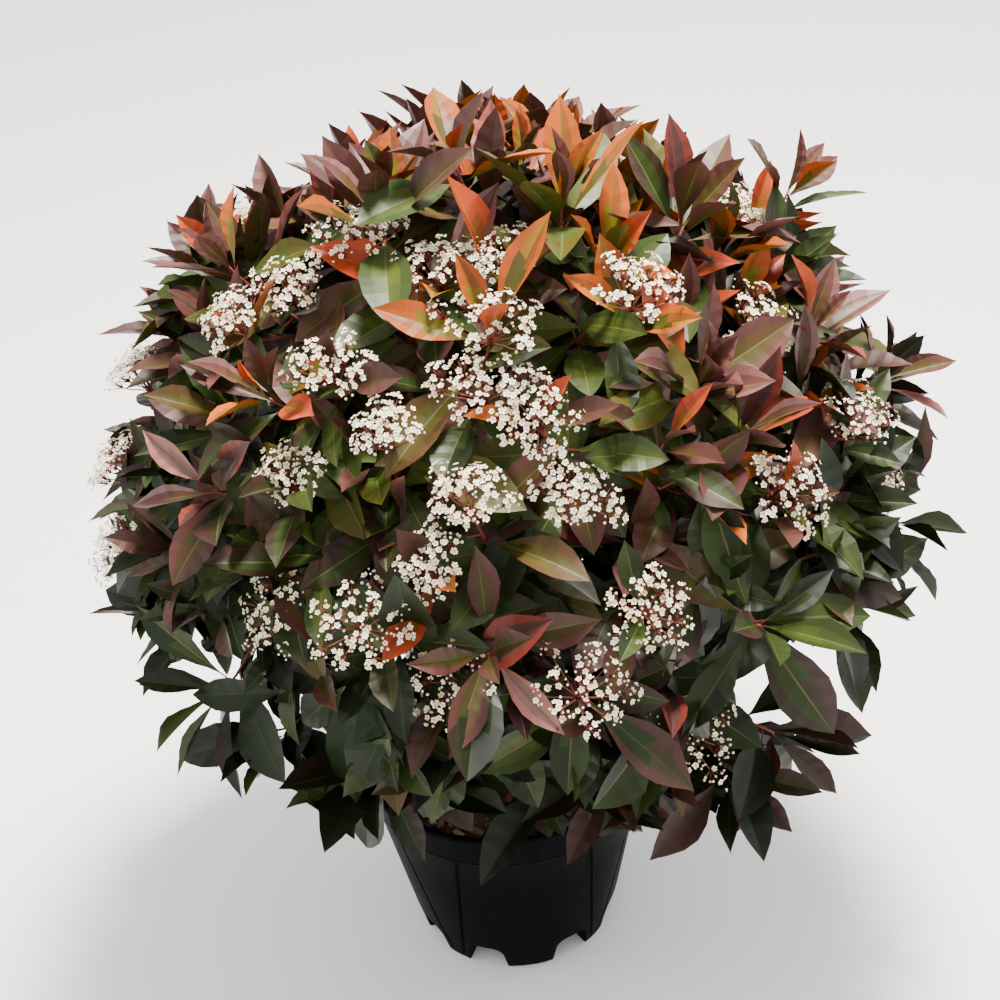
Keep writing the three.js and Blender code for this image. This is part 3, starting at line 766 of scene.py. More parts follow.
main_tips = np.array([s.tip for s in main_shoots])
fine_shoots = []
for i, heading in headings.items():
    role, share = roles.get(i, ("leafy", 0))
    if role == "leafy":
        in_gap = any(heading @ direction(a, e) > np.cos(np.radians(half)) for a, e, half in GAPS)
        if in_gap or (heading[2] < SPARSE_BELOW and chance(i, 13) < SPARSE_SHARE):
            continue
    low, high = HEAD_REACH if role == "head" else FINE_REACH
    tip = outline_point(heading, (share or low + (high - low) * chance(i, 8)) - dip(heading))
    if role == "leafy" and in_opening(tip):
        continue
    parent = main_shoots[int(np.argmin(np.linalg.norm(main_tips - tip, axis=1)))]
    span = parent.tip - parent.start
    start = parent.start + span * (BRANCHING[0] + BRANCHING[1] * chance(i, 9))
    if role == "head":
        lift = HEAD_LIFT
    else:
        lift = LIGHT_PULL * np.interp(heading[2], (-0.5, 0.0, 0.4), (0.0, 0.35, 1.0))
    wander = WANDER * (np.array([chance(i, salt) for salt in (10, 11, 12)]) - 0.5)
    aim_to = unit(unit(tip - CROWN_CENTRE) + lift * UP + wander)
    third = np.linalg.norm(tip - start) / 3
    path = bezier((start, start + unit(span) * third, tip - aim_to * third, tip), SHOOT_STEPS)
    if role == "stray":
        limit = np.interp(heading[2], (0.3, 0.8), STRAY_LIMITS)
    else:
        limit = LEAFY_LIMITS[0] + LEAFY_LIMITS[1] * chance(i, 14)
    fine_shoots.append(SimpleNamespace(
        tip=tip, heading=aim_to, out=heading, path=path, mass=parent.mass, role=role,
        limit=limit - dip(heading),
    ))
head_shoots = [s for s in fine_shoots if s.role == "head"]


# Leaves. Leathery pointed blades 80 to 120 mm long on short red stalks, folded along a pale midrib,
# with a finely toothed edge. Old ones are dark green. Young ones stand in rosettes at the shoots'
# tips, purple-bronze or orange-red with a green heart. Each spray takes its own plain tints, in
# lighter copies high on the crown and darker ones low down: painted light and painted shade.
LEAF_ROWS = np.concatenate(([0], np.linspace(0.1, 1, 13)))
LEAF_COLUMNS = np.array((-1, -0.55, -0.04, 0.04, 0.55, 1))
STALK_SHARE = 0.1
VEIN_RELIEF = 0.00044
VEIN_SLANT = 0.09
TOOTH_RELIEF = 0.02
EDGE_WAVE = 0.07
BLADE_ROLL = 0.4
BLADE_BEND = 0.05
# Pairs of a least value and how much more there can be on top. Widths are shares of a length.
YOUNG_LENGTH = (0.078, 0.036)
YOUNG_WIDTH = (0.29, 0.06)
YOUNG_ARCH = (0.02, 0.18)
OLD_WIDTH = (0.35, 0.06)
OLD_FOLD = (0.12, 0.3)
OLD_ARCH = (0.06, 0.2)
OLD_LENGTH = 0.108
YOUNG_POINT, OLD_POINT = 1.2, 0.95  # the higher, the more pointed
YOUNG_STEP, OLD_STEP = 0.035, 0.1
OLD_START = {"head": 0.34, "leafy": 0.2, "stray": 0.2}  # the first old leaf's way back from the tip
LENGTH_SCATTER = 0.1
VIGOUR = (0.86, 1.2)
YOUNG_LEAVES = (5, 9)
OLD_LEAVES = (5, 8)
HEAD_YOUNG = (0.6, 4)  # how often a head's shoot has young leaves, and how many
LOW_STRAY = (1.15, 6, 3)  # the leaves' vigour, and how many young and old ones
INNER_LEAVES = 9
INNER_SIZE = (0.1, 0.038)
INNER_STEP = 0.08  # of the shoot, from each leaf to the next
INNER_SLANT = np.radians(70)
INNER_HIGH = 0.35
LEVELLING = (0.75, 0.0)  # of the leaves at the crown's foot and in its upper part
HEAD_CLEARANCE = (0.028, 0.008)  # low down and higher up
RIM_CLEARANCE = (0.03, 0.004, 7)  # every seventh leaf may come nearer
SKIRT_SLOPE = 0.84  # the front's lowest leaves rise away from the rim, between these two X
SKIRT_FREE = (-0.2, 0.09)
SKIRT_FRONT = -0.08
SKIRT_LIFT = 0.012
SKIRT_STRAYS = 17  # one leaf in so many hangs lower
SOLIDS_MARGIN = 0.028
CROWN_FOOT = ((-0.15, 0.1, 0.17, 0.25), (0.395, 0.33, 0.34, 0.32))  # X, and the lowest leaves' height
TINTS = {
    "deep_green": (0.0070, 0.0130, 0.0026), "green": (0.0165, 0.0270, 0.0042),
    "leaf_green": (0.024, 0.034, 0.0045), "bright_green": (0.031, 0.044, 0.005),
    "olive": (0.044, 0.038, 0.005), "moss": (0.038, 0.028, 0.006), "gold": (0.115, 0.090, 0.005),
    "amber": (0.18, 0.076, 0.005), "orange": (0.25, 0.050, 0.005), "red": (0.26, 0.034, 0.009),
    "dark_red": (0.20, 0.026, 0.009), "crimson": (0.120, 0.020, 0.014), "rust": (0.14, 0.040, 0.006),
    "brown": (0.046, 0.024, 0.009), "dark_brown": (0.019, 0.0130, 0.0055), "purple": (0.064, 0.022, 0.0185),
    "plum": (0.048, 0.0180, 0.0150), "dark_purple": (0.028, 0.012, 0.010), "mauve": (0.096, 0.037, 0.035),
    "rose": (0.16, 0.056, 0.042), "slate": (0.022, 0.025, 0.017), "pale_rib": (0.062, 0.064, 0.017),
    "red_rib": (0.11, 0.022, 0.012),
}
# Lighter and darker copies of every leaf tint. High on the crown the leaves take the lighter ones, painted
# light, and low down the darker ones, painted shade.
PAINTED_LIGHT_SHADES = (0.55, 1.0, 1.4)
GLOSSY = {"slate": 0.6, "mauve": 0.5, "rose": 0.5}
# In most kinds the other half takes darker tints than the first: painted shade on one side of the fold.
KINDS = {  # outer and inner part of one half, heart, midrib, inner and outer part of the other half
    "old_dark": "deep_green deep_green deep_green green deep_green deep_green",
    "old": "green green green pale_rib deep_green deep_green",
    "old_bright": "green leaf_green bright_green pale_rib leaf_green green",
    "old_bronze": "dark_brown green green pale_rib dark_brown dark_purple",
    "slate": "slate slate green pale_rib deep_green dark_brown",
    "dusky": "dark_purple dark_brown deep_green green dark_brown dark_purple",
    "turning": "brown moss olive pale_rib moss brown",
    "sunlit": "olive olive bright_green pale_rib leaf_green olive",
    "bronze": "purple brown moss pale_rib brown plum",
    "purple": "purple purple brown olive plum plum",
    "mauve": "mauve purple brown pale_rib purple mauve",
    "wine": "crimson purple plum red_rib plum crimson",
    "scarlet": "red red rust amber dark_red red",
    "flame": "orange orange gold gold rust orange",
    "amber": "orange amber olive olive rust orange",
    "blush": "rose rose mauve pale_rib mauve rose",
}
FLUSH_HEIGHTS = (-0.5, 0.2, 0.5, 0.85)  # of a shoot on the crown, from -1 at its foot to 1
# The orange and red young leaves of the flame theme, dealt most at the top, are partly their own colour and
# partly painted glow of sun shining through them.
THEMES = {  # how often a spray takes each theme at those heights, and its young leaves' kinds
    "flame": ((0.0, 0.01, 0.14, 0.42), dict(flame=4, scarlet=4, amber=3, purple=4, mauve=2, sunlit=1)),
    "glowing": ((0.0, 0.08, 0.42, 0.42), dict(purple=6, mauve=4, bronze=3, scarlet=1, wine=1, amber=1)),
    "purple": ((0.08, 0.34, 0.18, 0.10), dict(purple=6, mauve=2, bronze=5, wine=2, blush=1, old_bronze=1)),
    "mixed": ((0.12, 0.28, 0.14, 0.08), dict(turning=1, bronze=4, purple=4, wine=1, old_bronze=2, blush=1)),
    "plain": ((0.74, 0.24, 0.06, 0.0), dict(
        old_bronze=3, turning=1, old=8, old_bright=4, bronze=1, dusky=1, slate=1,
    )),
}
# Painted light and shade: which copy of its tints a spray takes at each height on the crown.
PAINTED_LIGHT_HEIGHTS = ((-0.3, 0.3, 0.7), (0.1, 1.0, 1.7))  # the height, and which of the three shades
# The plainer sprays gather round these: azimuth, elevation and how strongly.
GREENER_SIDES = ((72, 5, 8), (-76, 8, 28))
FIERY_SIDE = (45, 50)
# High on the crown the old leaves take lighter kinds than low down: partly their own colour, partly painted
# light and shade.
OLD_KINDS = {
    "high": dict(old_bright=4, sunlit=3, turning=3, old=2, old_bronze=5, bronze=5, slate=1),
    "low": dict(old_dark=5, old=8, old_bright=1, old_bronze=2, dusky=1, slate=2),
}
FALLEN = 34
FALLEN_KINDS = dict(turning=2, wine=2, amber=1, dusky=3)
leaf_dice = np.random.default_rng(2024)
kind_names = list(KINDS)
leaves = []


def dealt(weights):
    """One of the names, each as often as its weight says."""
    odds = np.array(list(weights.values()))
    return list(weights)[leaf_dice.choice(len(odds), p=odds / odds.sum())]


def scattered(spread):
    """A chance value from a pair of the least one and how much more there can be."""
    return spread[0] + spread[1] * leaf_dice.random()


def add_leaf(shoot, back, turn, slant, length, width, point, fold, arch, droop, kinds, shade):
    """Stands a leaf on a shoot, at a way back from its tip, and draws it in to the crown's outline.

    Low down, where light comes only from above, the blades lie level and face up.
    """
    heading = shoot.heading
    side = unit(np.cross((0.12, 0.2, 1.0), heading))
    out = side * np.cos(turn) + np.cross(heading, side) * np.sin(turn)
    level = np.interp(shoot.out[2], (-0.4, 0.3), LEVELLING)
    along = heading * np.cos(slant) + out * np.sin(slant)
    along[2] *= 1 - 0.6 * level
    along = unit(along - UP * droop)
    up = (heading * np.sin(slant) - out * np.cos(slant)) * (1 - level) + UP * level
    up = unit(up - along * np.dot(up, along))
    place = max(0.0, (len(shoot.path) - 1) * (1 - back))
    low = int(min(place, len(shoot.path) - 2))
    base = shoot.path[low] + (shoot.path[low + 1] - shoot.path[low]) * (place - low)
    excess = (outline_share(base + along * length) - shoot.limit) * np.mean(CROWN_REACH)
    if excess > 0:
        length -= min(excess * 0.5, 0.15 * length)
        base = base - heading * excess * 0.6
    leaves.append(dict(
        base=base, along=along, up=up, length=length, width=width, point=point, fold=fold, arch=arch,
        kind=kind_names.index(dealt(kinds)), shade=shade, mass=shoot.mass.foliage,
        stray=shoot.role == "stray",
    ))


for shoot in fine_shoots:
    height = shoot.out[2]
    odds = {theme: np.interp(height, FLUSH_HEIGHTS, shares) for theme, (shares, _) in THEMES.items()}
    for *side, strength in GREENER_SIDES:
        odds["plain"] *= 1 + strength * max(0.0, shoot.out @ direction(*side)) ** 4
    # More orange and red towards the upper right: partly painted glow of sun through the young leaves.
    odds["flame"] *= 1 + 1.5 * max(0.0, shoot.out @ direction(*FIERY_SIDE)) ** 8
    if shoot.role == "stray" and height < -0.3 and shoot.out[0] > 0:
        odds["plain"] = 0
    young_kinds = THEMES[dealt(odds)][1]
    old_kinds = OLD_KINDS["high" if height > 0.1 + 0.3 * leaf_dice.random() else "low"]
    # A spray's copy of its tints, lighter high up and darker low down: painted light and painted shade.
    spray_painted_light = round(np.interp(height, *PAINTED_LIGHT_HEIGHTS) + leaf_dice.uniform(-0.7, 0.7))
    first_turn = leaf_dice.random() * 2 * np.pi
    vigour = leaf_dice.uniform(*VIGOUR)
    if shoot.role == "head":
        young = HEAD_YOUNG[1] if leaf_dice.random() < HEAD_YOUNG[0] else 0
    else:
        young = int(leaf_dice.integers(*YOUNG_LEAVES))
    old = int(leaf_dice.integers(*OLD_LEAVES)) + 2 * int(height > 0.3)
    if shoot.role == "stray" and height < 0.25:
        vigour, young, old = LOW_STRAY
    upright = np.interp(height, (-0.3, 0.3, 0.8), (32, 20, 12))
    sag = np.interp(height, (-0.5, 0.0, 0.5), (0.22, 0.12, 0.0))
    for k in range(young + old):
        turn = first_turn + np.radians(GOLDEN_ANGLE) * k + 0.3 * leaf_dice.normal()
        step = leaf_dice.choice((-1, 0, 1), p=(0.2, 0.6, 0.2))
        # Higher than 0.3 no leaf takes the darkest copy: painted light.
        shade = int(np.clip(spray_painted_light + step, height > 0.3, 2))
        growth = vigour * (1 + LENGTH_SCATTER * leaf_dice.normal())
        if k < young:
            share = k / (young - 1)
            length = growth * (YOUNG_LENGTH[0] + YOUNG_LENGTH[1] * share)
            slant = np.radians(upright + 42 * share + 11 * leaf_dice.normal())
            width = length * scattered(YOUNG_WIDTH)
            add_leaf(shoot, YOUNG_STEP * k, turn, slant, length, width, YOUNG_POINT, 0.5 - 0.2 * share,
                     scattered(YOUNG_ARCH), sag * share, young_kinds, shade)
        else:
            step = k - young
            length = growth * OLD_LENGTH
            back = OLD_START[shoot.role] + OLD_STEP * step
            slant = np.radians(66 + 5 * step + 13 * leaf_dice.normal())
            width = length * scattered(OLD_WIDTH)
            # Old leaves high on the crown take the lightest copy: painted light.
            add_leaf(shoot, back, turn, slant, length, width, OLD_POINT, scattered(OLD_FOLD),
                     scattered(OLD_ARCH), scattered((sag, 0.25)), old_kinds, 2 if height > 0.45 else shade)

for parent in main_shoots:
    inner = SimpleNamespace(
        heading=unit(parent.tip - parent.start), mass=parent.mass, limit=0.95, role="leafy",
        out=unit(parent.tip - CROWN_CENTRE), path=np.linspace(parent.start, parent.tip, SHOOT_STEPS),
    )
    high = inner.out[2] > INNER_HIGH
    # Inner leaves high on the crown take the lightest copy, painted light in the crown's hollows. Lower
    # ones take one of the two darker copies at random.
    for k in range(INNER_LEAVES):
        turn = np.radians(GOLDEN_ANGLE) * k + leaf_dice.random()
        add_leaf(inner, INNER_STEP * k, turn, INNER_SLANT, *INNER_SIZE, OLD_POINT, 0.2, 0.15, 0.1,
                 OLD_KINDS["high" if high else "low"], 2)
        if not high:
            leaves[-1]["shade"] = int(leaf_dice.integers(0, 2))

blades = {name: np.array([leaf[name] for leaf in leaves]) for name in leaves[0]}

# Leaves that would touch the pot, the compost or a flower head are left off.
order = np.arange(len(leaves))
keep = np.ones(len(leaves), bool)
for share in (0.0, 0.35, 0.7, 1.0):
    sunk = (blades["arch"] * blades["length"] * share ** 2)[:, None] * blades["up"]
    spots = blades["base"] + blades["along"] * (blades["length"] * share)[:, None] - sunk
    x, y, z = spots.T
    room = np.where(order % RIM_CLEARANCE[2] == 0, RIM_CLEARANCE[1], RIM_CLEARANCE[0])
    keep &= (z > POT_HEIGHT + room) | (np.hypot(x, y) > RIM_RADIUS + room)
    keep &= blades["stray"] | (z > np.interp(x, *CROWN_FOOT))
    in_front = (y < SKIRT_FRONT) & (x > SKIRT_FREE[0]) & (x < SKIRT_FREE[1])
    over_rim = z + (y + RIM_RADIUS) * SKIRT_SLOPE > POT_HEIGHT + SKIRT_LIFT
    keep &= ~in_front | over_rim | (order % SKIRT_STRAYS == 0)
    within = (spots > np.array(cad_low) - SOLIDS_MARGIN) & (spots < np.array(cad_high) + SOLIDS_MARGIN)
    keep &= within.all(axis=1)
    if share < 0.3:
        continue
    keep &= blades["stray"] | ~in_opening(spots)
    deep = outline_share(spots) > GAP_DEPTH
    for azimuth, elevation, half in GAPS:
        aside = unit(spots - CROWN_CENTRE) @ direction(azimuth, elevation)
        keep &= blades["stray"] | ~deep | (aside < np.cos(np.radians(half - 3)))
    for shoot in head_shoots:
        off = spots - shoot.tip - shoot.heading * 0.02
        ahead = off @ shoot.heading
        aside = np.linalg.norm(off - ahead[:, None] * shoot.heading, axis=1)
        clearance = np.interp(shoot.out[2], (0.0, 0.4), HEAD_CLEARANCE)
        keep &= ~((aside < clearance) & (ahead > -0.012) & (ahead < 0.07))
blades = {name: values[keep] for name, values in blades.items()}


def blade_points(blades, seed):
    """The points of every blade, as rows from stalk to tip. Every other row lies a little lower."""
    base, along, up = (blades[name][:, None, None] for name in ("base", "along", "up"))
    length, width, point, fold, arch = (
        blades[name][:, None, None] for name in ("length", "width", "point", "fold", "arch")
    )
    wave_turn, bend_turn, roll_turn = (
        np.random.default_rng(seed).random((len(base), 3)).T[..., None, None] * 2 * np.pi
    )
    t = LEAF_ROWS[:, None]
    across = np.abs(LEAF_COLUMNS)
    alternate = np.where(np.arange(len(t)) % 2, 1.0, -1.0)[:, None]
    ribs = np.where(across < 0.1, 0.0, np.where(across == 1, 0.6, 1.0))
    body = np.clip((t - STALK_SHARE) / (1 - STALK_SHARE), 0, 1)
    outline = np.maximum(np.sin(np.pi * body), 0) ** point
    outline = np.maximum(outline, np.where(t == 1, 0.01, 0.05))
    half = width / 2 * outline * (1 + TOOTH_RELIEF * alternate * (across == 1))
    wave = np.sin(wave_turn + 6.5 * t) * across ** 2 * width * EDGE_WAVE * outline
    x = length * (t + VEIN_SLANT * np.sin(np.pi * t) * across)
    y = half * LEAF_COLUMNS * np.cos(fold) + BLADE_BEND * np.cos(bend_turn) * length * t ** 2
    z = half * across * np.sin(fold) + wave + VEIN_RELIEF * alternate * outline * ribs
    z = z - arch * length * t ** 2
    roll = (BLADE_ROLL * np.sin(roll_turn))[..., None]
    side = np.cross(up, along)
    aside = side * np.cos(roll) + up * np.sin(roll)
    over = up * np.cos(roll) - side * np.sin(roll)
    return (base + x[..., None] * along + y[..., None] * aside + z[..., None] * over).reshape(-1, 3)


def repeated(faces, count, corners):
    """The faces of a number of copies of one shape that has so many corners."""
    return (faces + np.arange(count)[:, None, None] * corners).reshape(-1, faces.shape[1])


# Which tint of its kind each face takes. The green heart is broad at a blade's foot and narrow
# towards its tip. The far half mostly takes darker tints, painted shade on one side of the fold.
rows, columns = len(LEAF_ROWS), len(LEAF_COLUMNS)
corner = (np.arange(rows - 1)[:, None] * columns + np.arange(columns - 1)).ravel()
blade_faces = np.stack((corner, corner + 1, corner + columns + 1, corner + columns), 1)
OUTER, INNER, HEART, RIB, FAR_INNER, FAR_OUTER, STALK = range(7)
zones = np.array([[OUTER, INNER, RIB, FAR_INNER, FAR_OUTER]] * (rows - 1))
zones[0] = STALK
zones[1:8, 1] = zones[1:7, 3] = HEART
zones[1:3, 0] = zones[1:3, 4] = HEART
tint_names = list(TINTS)
kind_tints = np.array([
    [tint_names.index(tint) for tint in (*tints.split(), "red_rib")] for tints in KINDS.values()
])
# Every tint in its three copies, darker and lighter, for painted shade and painted light.
leaf_finishes = [
    plain_finish(f"leaf_{name}_{i}", tuple(c * shade for c in colour), 0.43, GLOSSY.get(name, 0.2))
    for name, colour in TINTS.items() for i, shade in enumerate(PAINTED_LIGHT_SHADES)
]


def place_leaves(name, blades, seed, slot, nodes):
    """Places one piece of leaves, half of them mirrored, with a sharp edge along each row."""
    mirrored = np.random.default_rng(seed + 50).random(len(blades["kind"])) < 0.5
    zone = np.where(mirrored[:, None, None], zones[:, ::-1], zones)
    tints = kind_tints[blades["kind"][:, None, None], zone]
    slots = (tints * len(PAINTED_LIGHT_SHADES) + blades["shade"][:, None, None]).ravel()
    faces = repeated(blade_faces, len(mirrored), rows * columns)
    made = object_from(name, blade_points(blades, seed), faces, leaf_finishes, slots)
    ends = np.empty(len(made.data.edges) * 2, np.int32)
    made.data.edges.foreach_get("vertices", ends)
    row = ends.reshape(-1, 2) // columns
    made.data.edges.foreach_set("use_edge_sharp", row[:, 0] == row[:, 1])
    place_piece(made, slot, *nodes)


LEAF_GROUPS = (  # name, ring, first and last mass
    ("leaves_top", ("top", "upper"), 0, 5), ("leaves_middle_right", ("middle",), 0, 5),
    ("leaves_middle_left", ("middle",), 5, 10), ("leaves_lower_right", ("lower",), 0, 5),
    ("leaves_lower_left", ("lower",), 5, 10),
)
for seed, (name, rings, first, last) in enumerate(LEAF_GROUPS):
    nodes = [m.foliage for m in masses if m.ring in rings and first <= m.number < last]
    chosen = np.isin(blades["mass"], nodes)
    group = {key: values[chosen] for key, values in blades.items()}
    place_leaves(name, group, seed, f"foliage_{rings[-1]}", nodes)

# Old leaves that have dropped lie curled on the compost.
turn = leaf_dice.random(FALLEN) * 2 * np.pi
reach = inner_wall * np.sqrt(leaf_dice.uniform(0.1, 0.62, FALLEN))
lying = leaf_dice.random(FALLEN) * 2 * np.pi
level = np.full(FALLEN, COMPOST_LEVEL + 0.003)
fallen = dict(
    base=np.stack((reach * np.cos(turn), reach * np.sin(turn), level), 1),
    along=unit(np.stack((np.cos(lying), np.sin(lying), leaf_dice.uniform(0.0, 0.25, FALLEN)), 1)),
    length=leaf_dice.uniform(0.035, 0.06, FALLEN), width=leaf_dice.uniform(0.014, 0.024, FALLEN),
    point=np.full(FALLEN, 0.95), fold=leaf_dice.uniform(0.2, 0.7, FALLEN),
    arch=leaf_dice.uniform(-0.1, 0.15, FALLEN),
    kind=np.array([kind_names.index(dealt(FALLEN_KINDS)) for _ in range(FALLEN)]),
    shade=leaf_dice.integers(0, 2, FALLEN),
)
fallen["up"] = unit(UP - fallen["along"] * fallen["along"][:, 2:])
place_leaves("fallen_leaves", fallen, 9, "compost", ["compost"])


# Twigs. Each mass's stem, its main shoots and the finer ones, brown at the foot and turning
# red towards the leaves.
STEM_END = 0.64
MASS_STEM_RADII = (0.0038, 0.0028)
MAIN_SHOOT_RADII = (0.0026, 0.0016)
TWIG_RADII = (0.0020, 0.0013)
TWIG_BROWN = (0.06, 0.03, 0.018)
TWIG_RED = (0.17, 0.030, 0.018)


def triangles(*corners):
    return np.stack(np.broadcast_arrays(*corners), 1)


def tube(path, ends, sides):
    """The points and faces of a closed round rod along a path, from one radius to the other."""
    ahead = unit(np.gradient(path, axis=0))
    across = unit(np.cross(ahead[0], (0.31, 0.87, 0.38)))
    turns = 2 * np.pi * np.arange(sides)[:, None] / sides
    rings = []
    for centre, axis, radius in zip(path, ahead, np.linspace(*ends, len(path))):
        across = unit(across - axis * np.dot(across, axis))
        rings.append(centre + radius * (np.cos(turns) * across + np.sin(turns) * np.cross(axis, across)))
    k = np.arange(sides)
    after = (k + 1) % sides
    last = (len(path) - 1) * sides
    faces = []
    for ring in range(0, last, sides):
        faces.append(triangles(ring + k, ring + after, ring + sides + after))
        faces.append(triangles(ring + k, ring + sides + after, ring + sides + k))
    faces.append(triangles(last + sides, after, k))
    faces.append(triangles(last + sides + 1, last + k, last + after))
    return np.concatenate([*rings, path[:1], path[-1:]]), np.concatenate(faces)


def merged(parts):
    """One array of points and one of faces from many."""
    starts = np.cumsum([0] + [len(points) for points, _ in parts[:-1]])
    points = np.concatenate([points for points, _ in parts])
    return points, np.concatenate([faces + start for (_, faces), start in zip(parts, starts)])


old_wood = []
for mass in masses:
    end = GROWTH_POINT + mass.axis * mass.reach * STEM_END
    old_wood.append(tube(np.linspace(mass.root, end, 8), MASS_STEM_RADII, 8))
for parent in main_shoots:
    old_wood.append(tube(np.linspace(parent.start, parent.tip, 6), MAIN_SHOOT_RADII, 6))
new_wood = [tube(s.path, TWIG_RADII, 5) for s in fine_shoots]
for name, parts, colour in (("main_shoots", old_wood, TWIG_BROWN), ("twigs", new_wood, TWIG_RED)):
    made = object_from(name, *merged(parts), [plain_finish(name, colour, 0.6)])
    place_piece(made, "bark", *[m.foliage for m in masses])


# Flower heads. Domed clusters about 100 mm across. Thin red-brown stalks branch twice and end
# in small five-petalled cream flowers, packed in clumps, or in round buds not yet open.
HEAD_RADIUS = 0.040
HEAD_DOME = 0.016
HEAD_FOOT = 0.012
HEAD_SIZES = (0.7, 1.15)
HEAD_STRETCH = (0.8, 1.25)
OPENED = ((-0.3, 0.2, 0.6), (0.5, 0.68, 0.92))  # how high a head looks, and its share of open flowers
CLUMPS = 14
CLUMP_RADIUS = 0.0094
CLUMP_STALK = 0.013
CLUMP_DOME = 0.006
FLOWERS_PER_CLUMP = 7
BUDS_PER_CLUMP = 5
FLOWER_RADIUS = 0.0031
BUD_RADIUS = 0.0014
BRANCH_RADII = (0.0011, 0.0007)
FINE_STALK_RADIUS = 0.0006
PETAL = ((0.1, 0, 0), (0.62, 0.44, 0.12), (1.0, 0.2, 0.34), (1.0, -0.2, 0.34), (0.62, -0.44, 0.12))
PETAL_COLOURS = ((0.84, 0.74, 0.53), (0.92, 0.85, 0.67), (0.66, 0.52, 0.32))
EYE_COLOUR = (0.40, 0.30, 0.10)
BUD_COLOURS = ((0.80, 0.73, 0.58), (0.62, 0.48, 0.34))
STALK_COLOUR = (0.16, 0.035, 0.018)
flower_dice = np.random.default_rng(99)


def flower_template():
    """Five cupped petals, then a raised eye, one unit in radius. Every other petal lies higher."""
    points, faces = [], []
    for number in range(5):
        start = len(points)
        lift = 0.04 * (number % 2)
        points += [turned(72 * number, "Z") @ Vector((x, y, z + lift)) for x, y, z in PETAL]
        faces += [(start + i + 1, start + i, start) for i in (3, 2, 1)]
    eye = len(points)
    points += [turned(72 * number + 36, "Z") @ Vector((0.26, 0, 0.1)) for number in range(5)]
    points.append(Vector((0, 0, 0.32)))
    faces += [(eye + i, eye + (i + 1) % 5, eye + 5) for i in range(5)]
    return np.array(points), np.array(faces)


def bud_template():
    shape = bmesh.new()
    bmesh.ops.create_icosphere(shape, subdivisions=1, radius=1.0)
    points = np.array([corner.co for corner in shape.verts])
    faces = np.array([[corner.index for corner in face.verts] for face in shape.faces])
    shape.free()
    return points, faces


def copies(template, faces, spots, axes, scales):
    """Copies of a template at the spots, each with its Z along its axis and a chance turn."""
    axes = unit(axes)
    side = unit(np.cross(axes, unit(flower_dice.normal(size=axes.shape))))
    basis = np.stack((side, np.cross(axes, side), axes), 1)
    points = spots[:, None] + (template * scales[:, None]) @ basis
    return points.reshape(-1, 3), repeated(faces, len(spots), len(template))


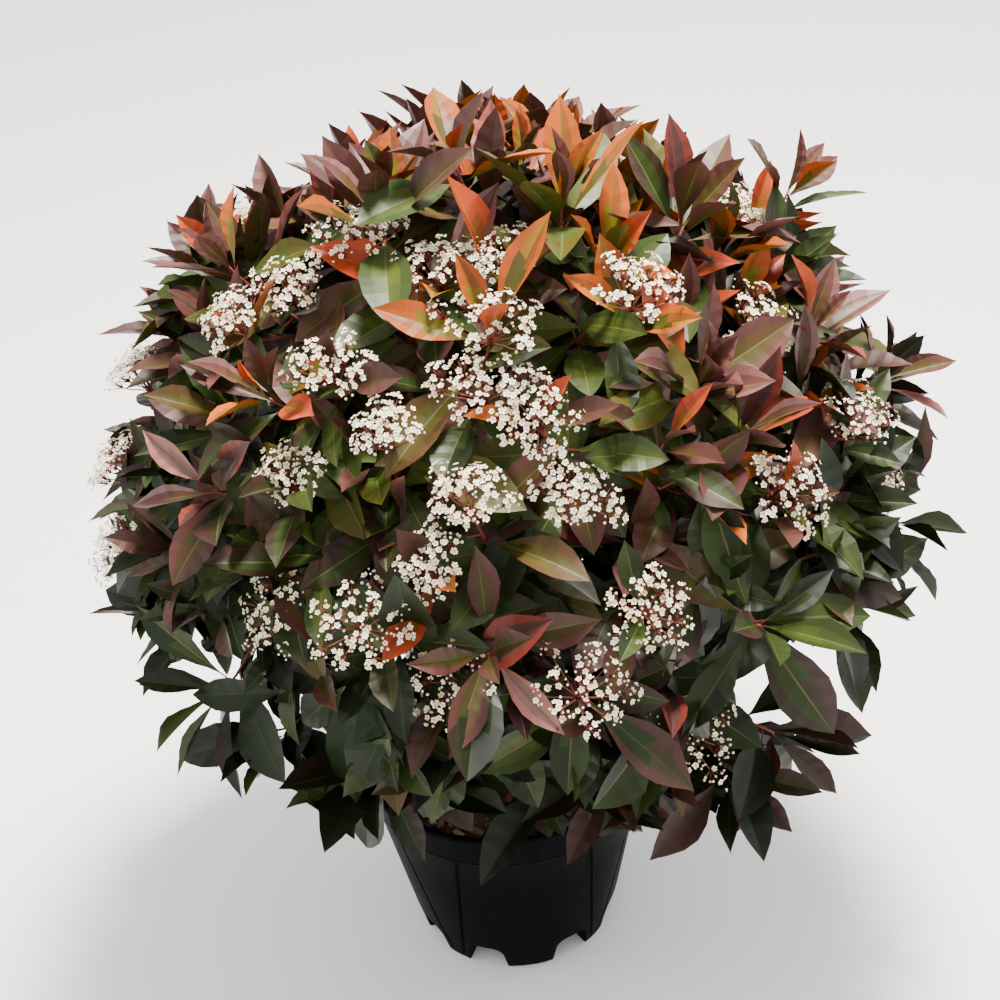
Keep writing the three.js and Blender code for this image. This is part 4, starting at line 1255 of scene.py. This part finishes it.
flowers, buds, fine_stalks, branches = [], [], [], []
for shoot in head_shoots:
    axis = unit(shoot.heading + 0.25 * UP + 0.16 * flower_dice.normal(size=3))
    side = unit(np.cross(axis, (0.3, 0.9, 0.2)))
    over = np.cross(axis, side)
    size = flower_dice.uniform(*HEAD_SIZES) * np.interp(shoot.out[2], (-0.2, 0.3), (1.2, 1.0))
    stretch = flower_dice.uniform(*HEAD_STRETCH)
    first = flower_dice.random() * 2 * np.pi
    opened = np.interp(shoot.out[2], *OPENED) + flower_dice.uniform(-0.12, 0.08)
    foot = shoot.tip - axis * HEAD_FOOT
    for c in range(CLUMPS):
        reach = np.sqrt((c + 0.3) / CLUMPS) * (1 + 0.08 * flower_dice.normal())
        turn = first + c * np.radians(GOLDEN_ANGLE)
        out = side * np.cos(turn) * stretch + over * np.sin(turn) / stretch
        dome = HEAD_DOME * (1 - reach ** 2) + 0.004 * flower_dice.normal()
        centre = shoot.tip + out * reach * HEAD_RADIUS * size + axis * (0.022 + dome)
        lean = unit(axis + out * 0.55 * reach)
        hub = centre - lean * CLUMP_STALK
        route = bezier((foot, foot + axis * 0.014, hub - lean * 0.01, hub), 5)
        branches.append(tube(route, BRANCH_RADII, 3))
        for k in range(FLOWERS_PER_CLUMP + BUDS_PER_CLUMP):
            outer = np.sqrt((k + 0.35) / FLOWERS_PER_CLUMP)
            spin = k * np.radians(GOLDEN_ANGLE) + 0.4 * flower_dice.normal()
            push = side * np.cos(spin) + over * np.sin(spin)
            rise = CLUMP_DOME * (1 - outer ** 2) + 0.0015 * flower_dice.normal()
            spot = centre + push * outer * CLUMP_RADIUS + lean * rise
            facing = unit(lean + push * 0.7 * outer + 0.15 * flower_dice.normal(size=3))
            is_flower = k < FLOWERS_PER_CLUMP and flower_dice.random() < opened
            (flowers if is_flower else buds).append((spot, facing))
            fine_stalks.append((hub, spot - facing * 0.0008))

points, faces = flower_template()
spots, facings = np.array(flowers).transpose(1, 0, 2)
scales = FLOWER_RADIUS * flower_dice.uniform(0.85, 1.15, (len(spots), 1))
shade = flower_dice.choice(3, (len(spots), 1), p=(0.4, 0.42, 0.18))
slots = np.where(np.arange(len(faces)) < 15, shade, 3).ravel()
finishes = [plain_finish(f"petal_{i}", colour, 0.6, 0.2) for i, colour in enumerate(PETAL_COLOURS)]
finishes.append(plain_finish("flower_eye", EYE_COLOUR, 0.7))
shape = copies(points, faces, spots, facings, scales)
pieces = [object_from("flowers", *shape, finishes, slots, False)]

points, faces = bud_template()
spots, facings = np.array(buds).transpose(1, 0, 2)
scales = BUD_RADIUS * flower_dice.uniform(0.75, 1.2, (len(spots), 1))
slots = np.repeat(flower_dice.integers(0, 2, len(spots)), len(faces))
finishes = [plain_finish(f"bud_{i}", colour, 0.5) for i, colour in enumerate(BUD_COLOURS)]
pieces.append(object_from("flower_buds", *copies(points, faces, spots, facings, scales), finishes, slots))

points = np.array([(np.cos(a), np.sin(a), 0.0) for a in np.radians((0, 120, 240))] + [(0, 0, 1)])
faces = np.array(((0, 1, 3), (1, 2, 3), (2, 0, 3), (0, 2, 1)))
feet, ends = np.array(fine_stalks).transpose(1, 0, 2)
scales = np.full(feet.shape, FINE_STALK_RADIUS)
scales[:, 2] = np.linalg.norm(ends - feet, axis=1)
shape = merged([copies(points, faces, feet, ends - feet, scales), *branches])
pieces.append(object_from("flower_stalks", *shape, [plain_finish("flower_stalk", STALK_COLOUR, 0.6)]))

for piece in pieces:
    place_piece(piece, "foliage_middle", *sorted({s.mass.foliage for s in head_shoots}))


low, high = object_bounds()
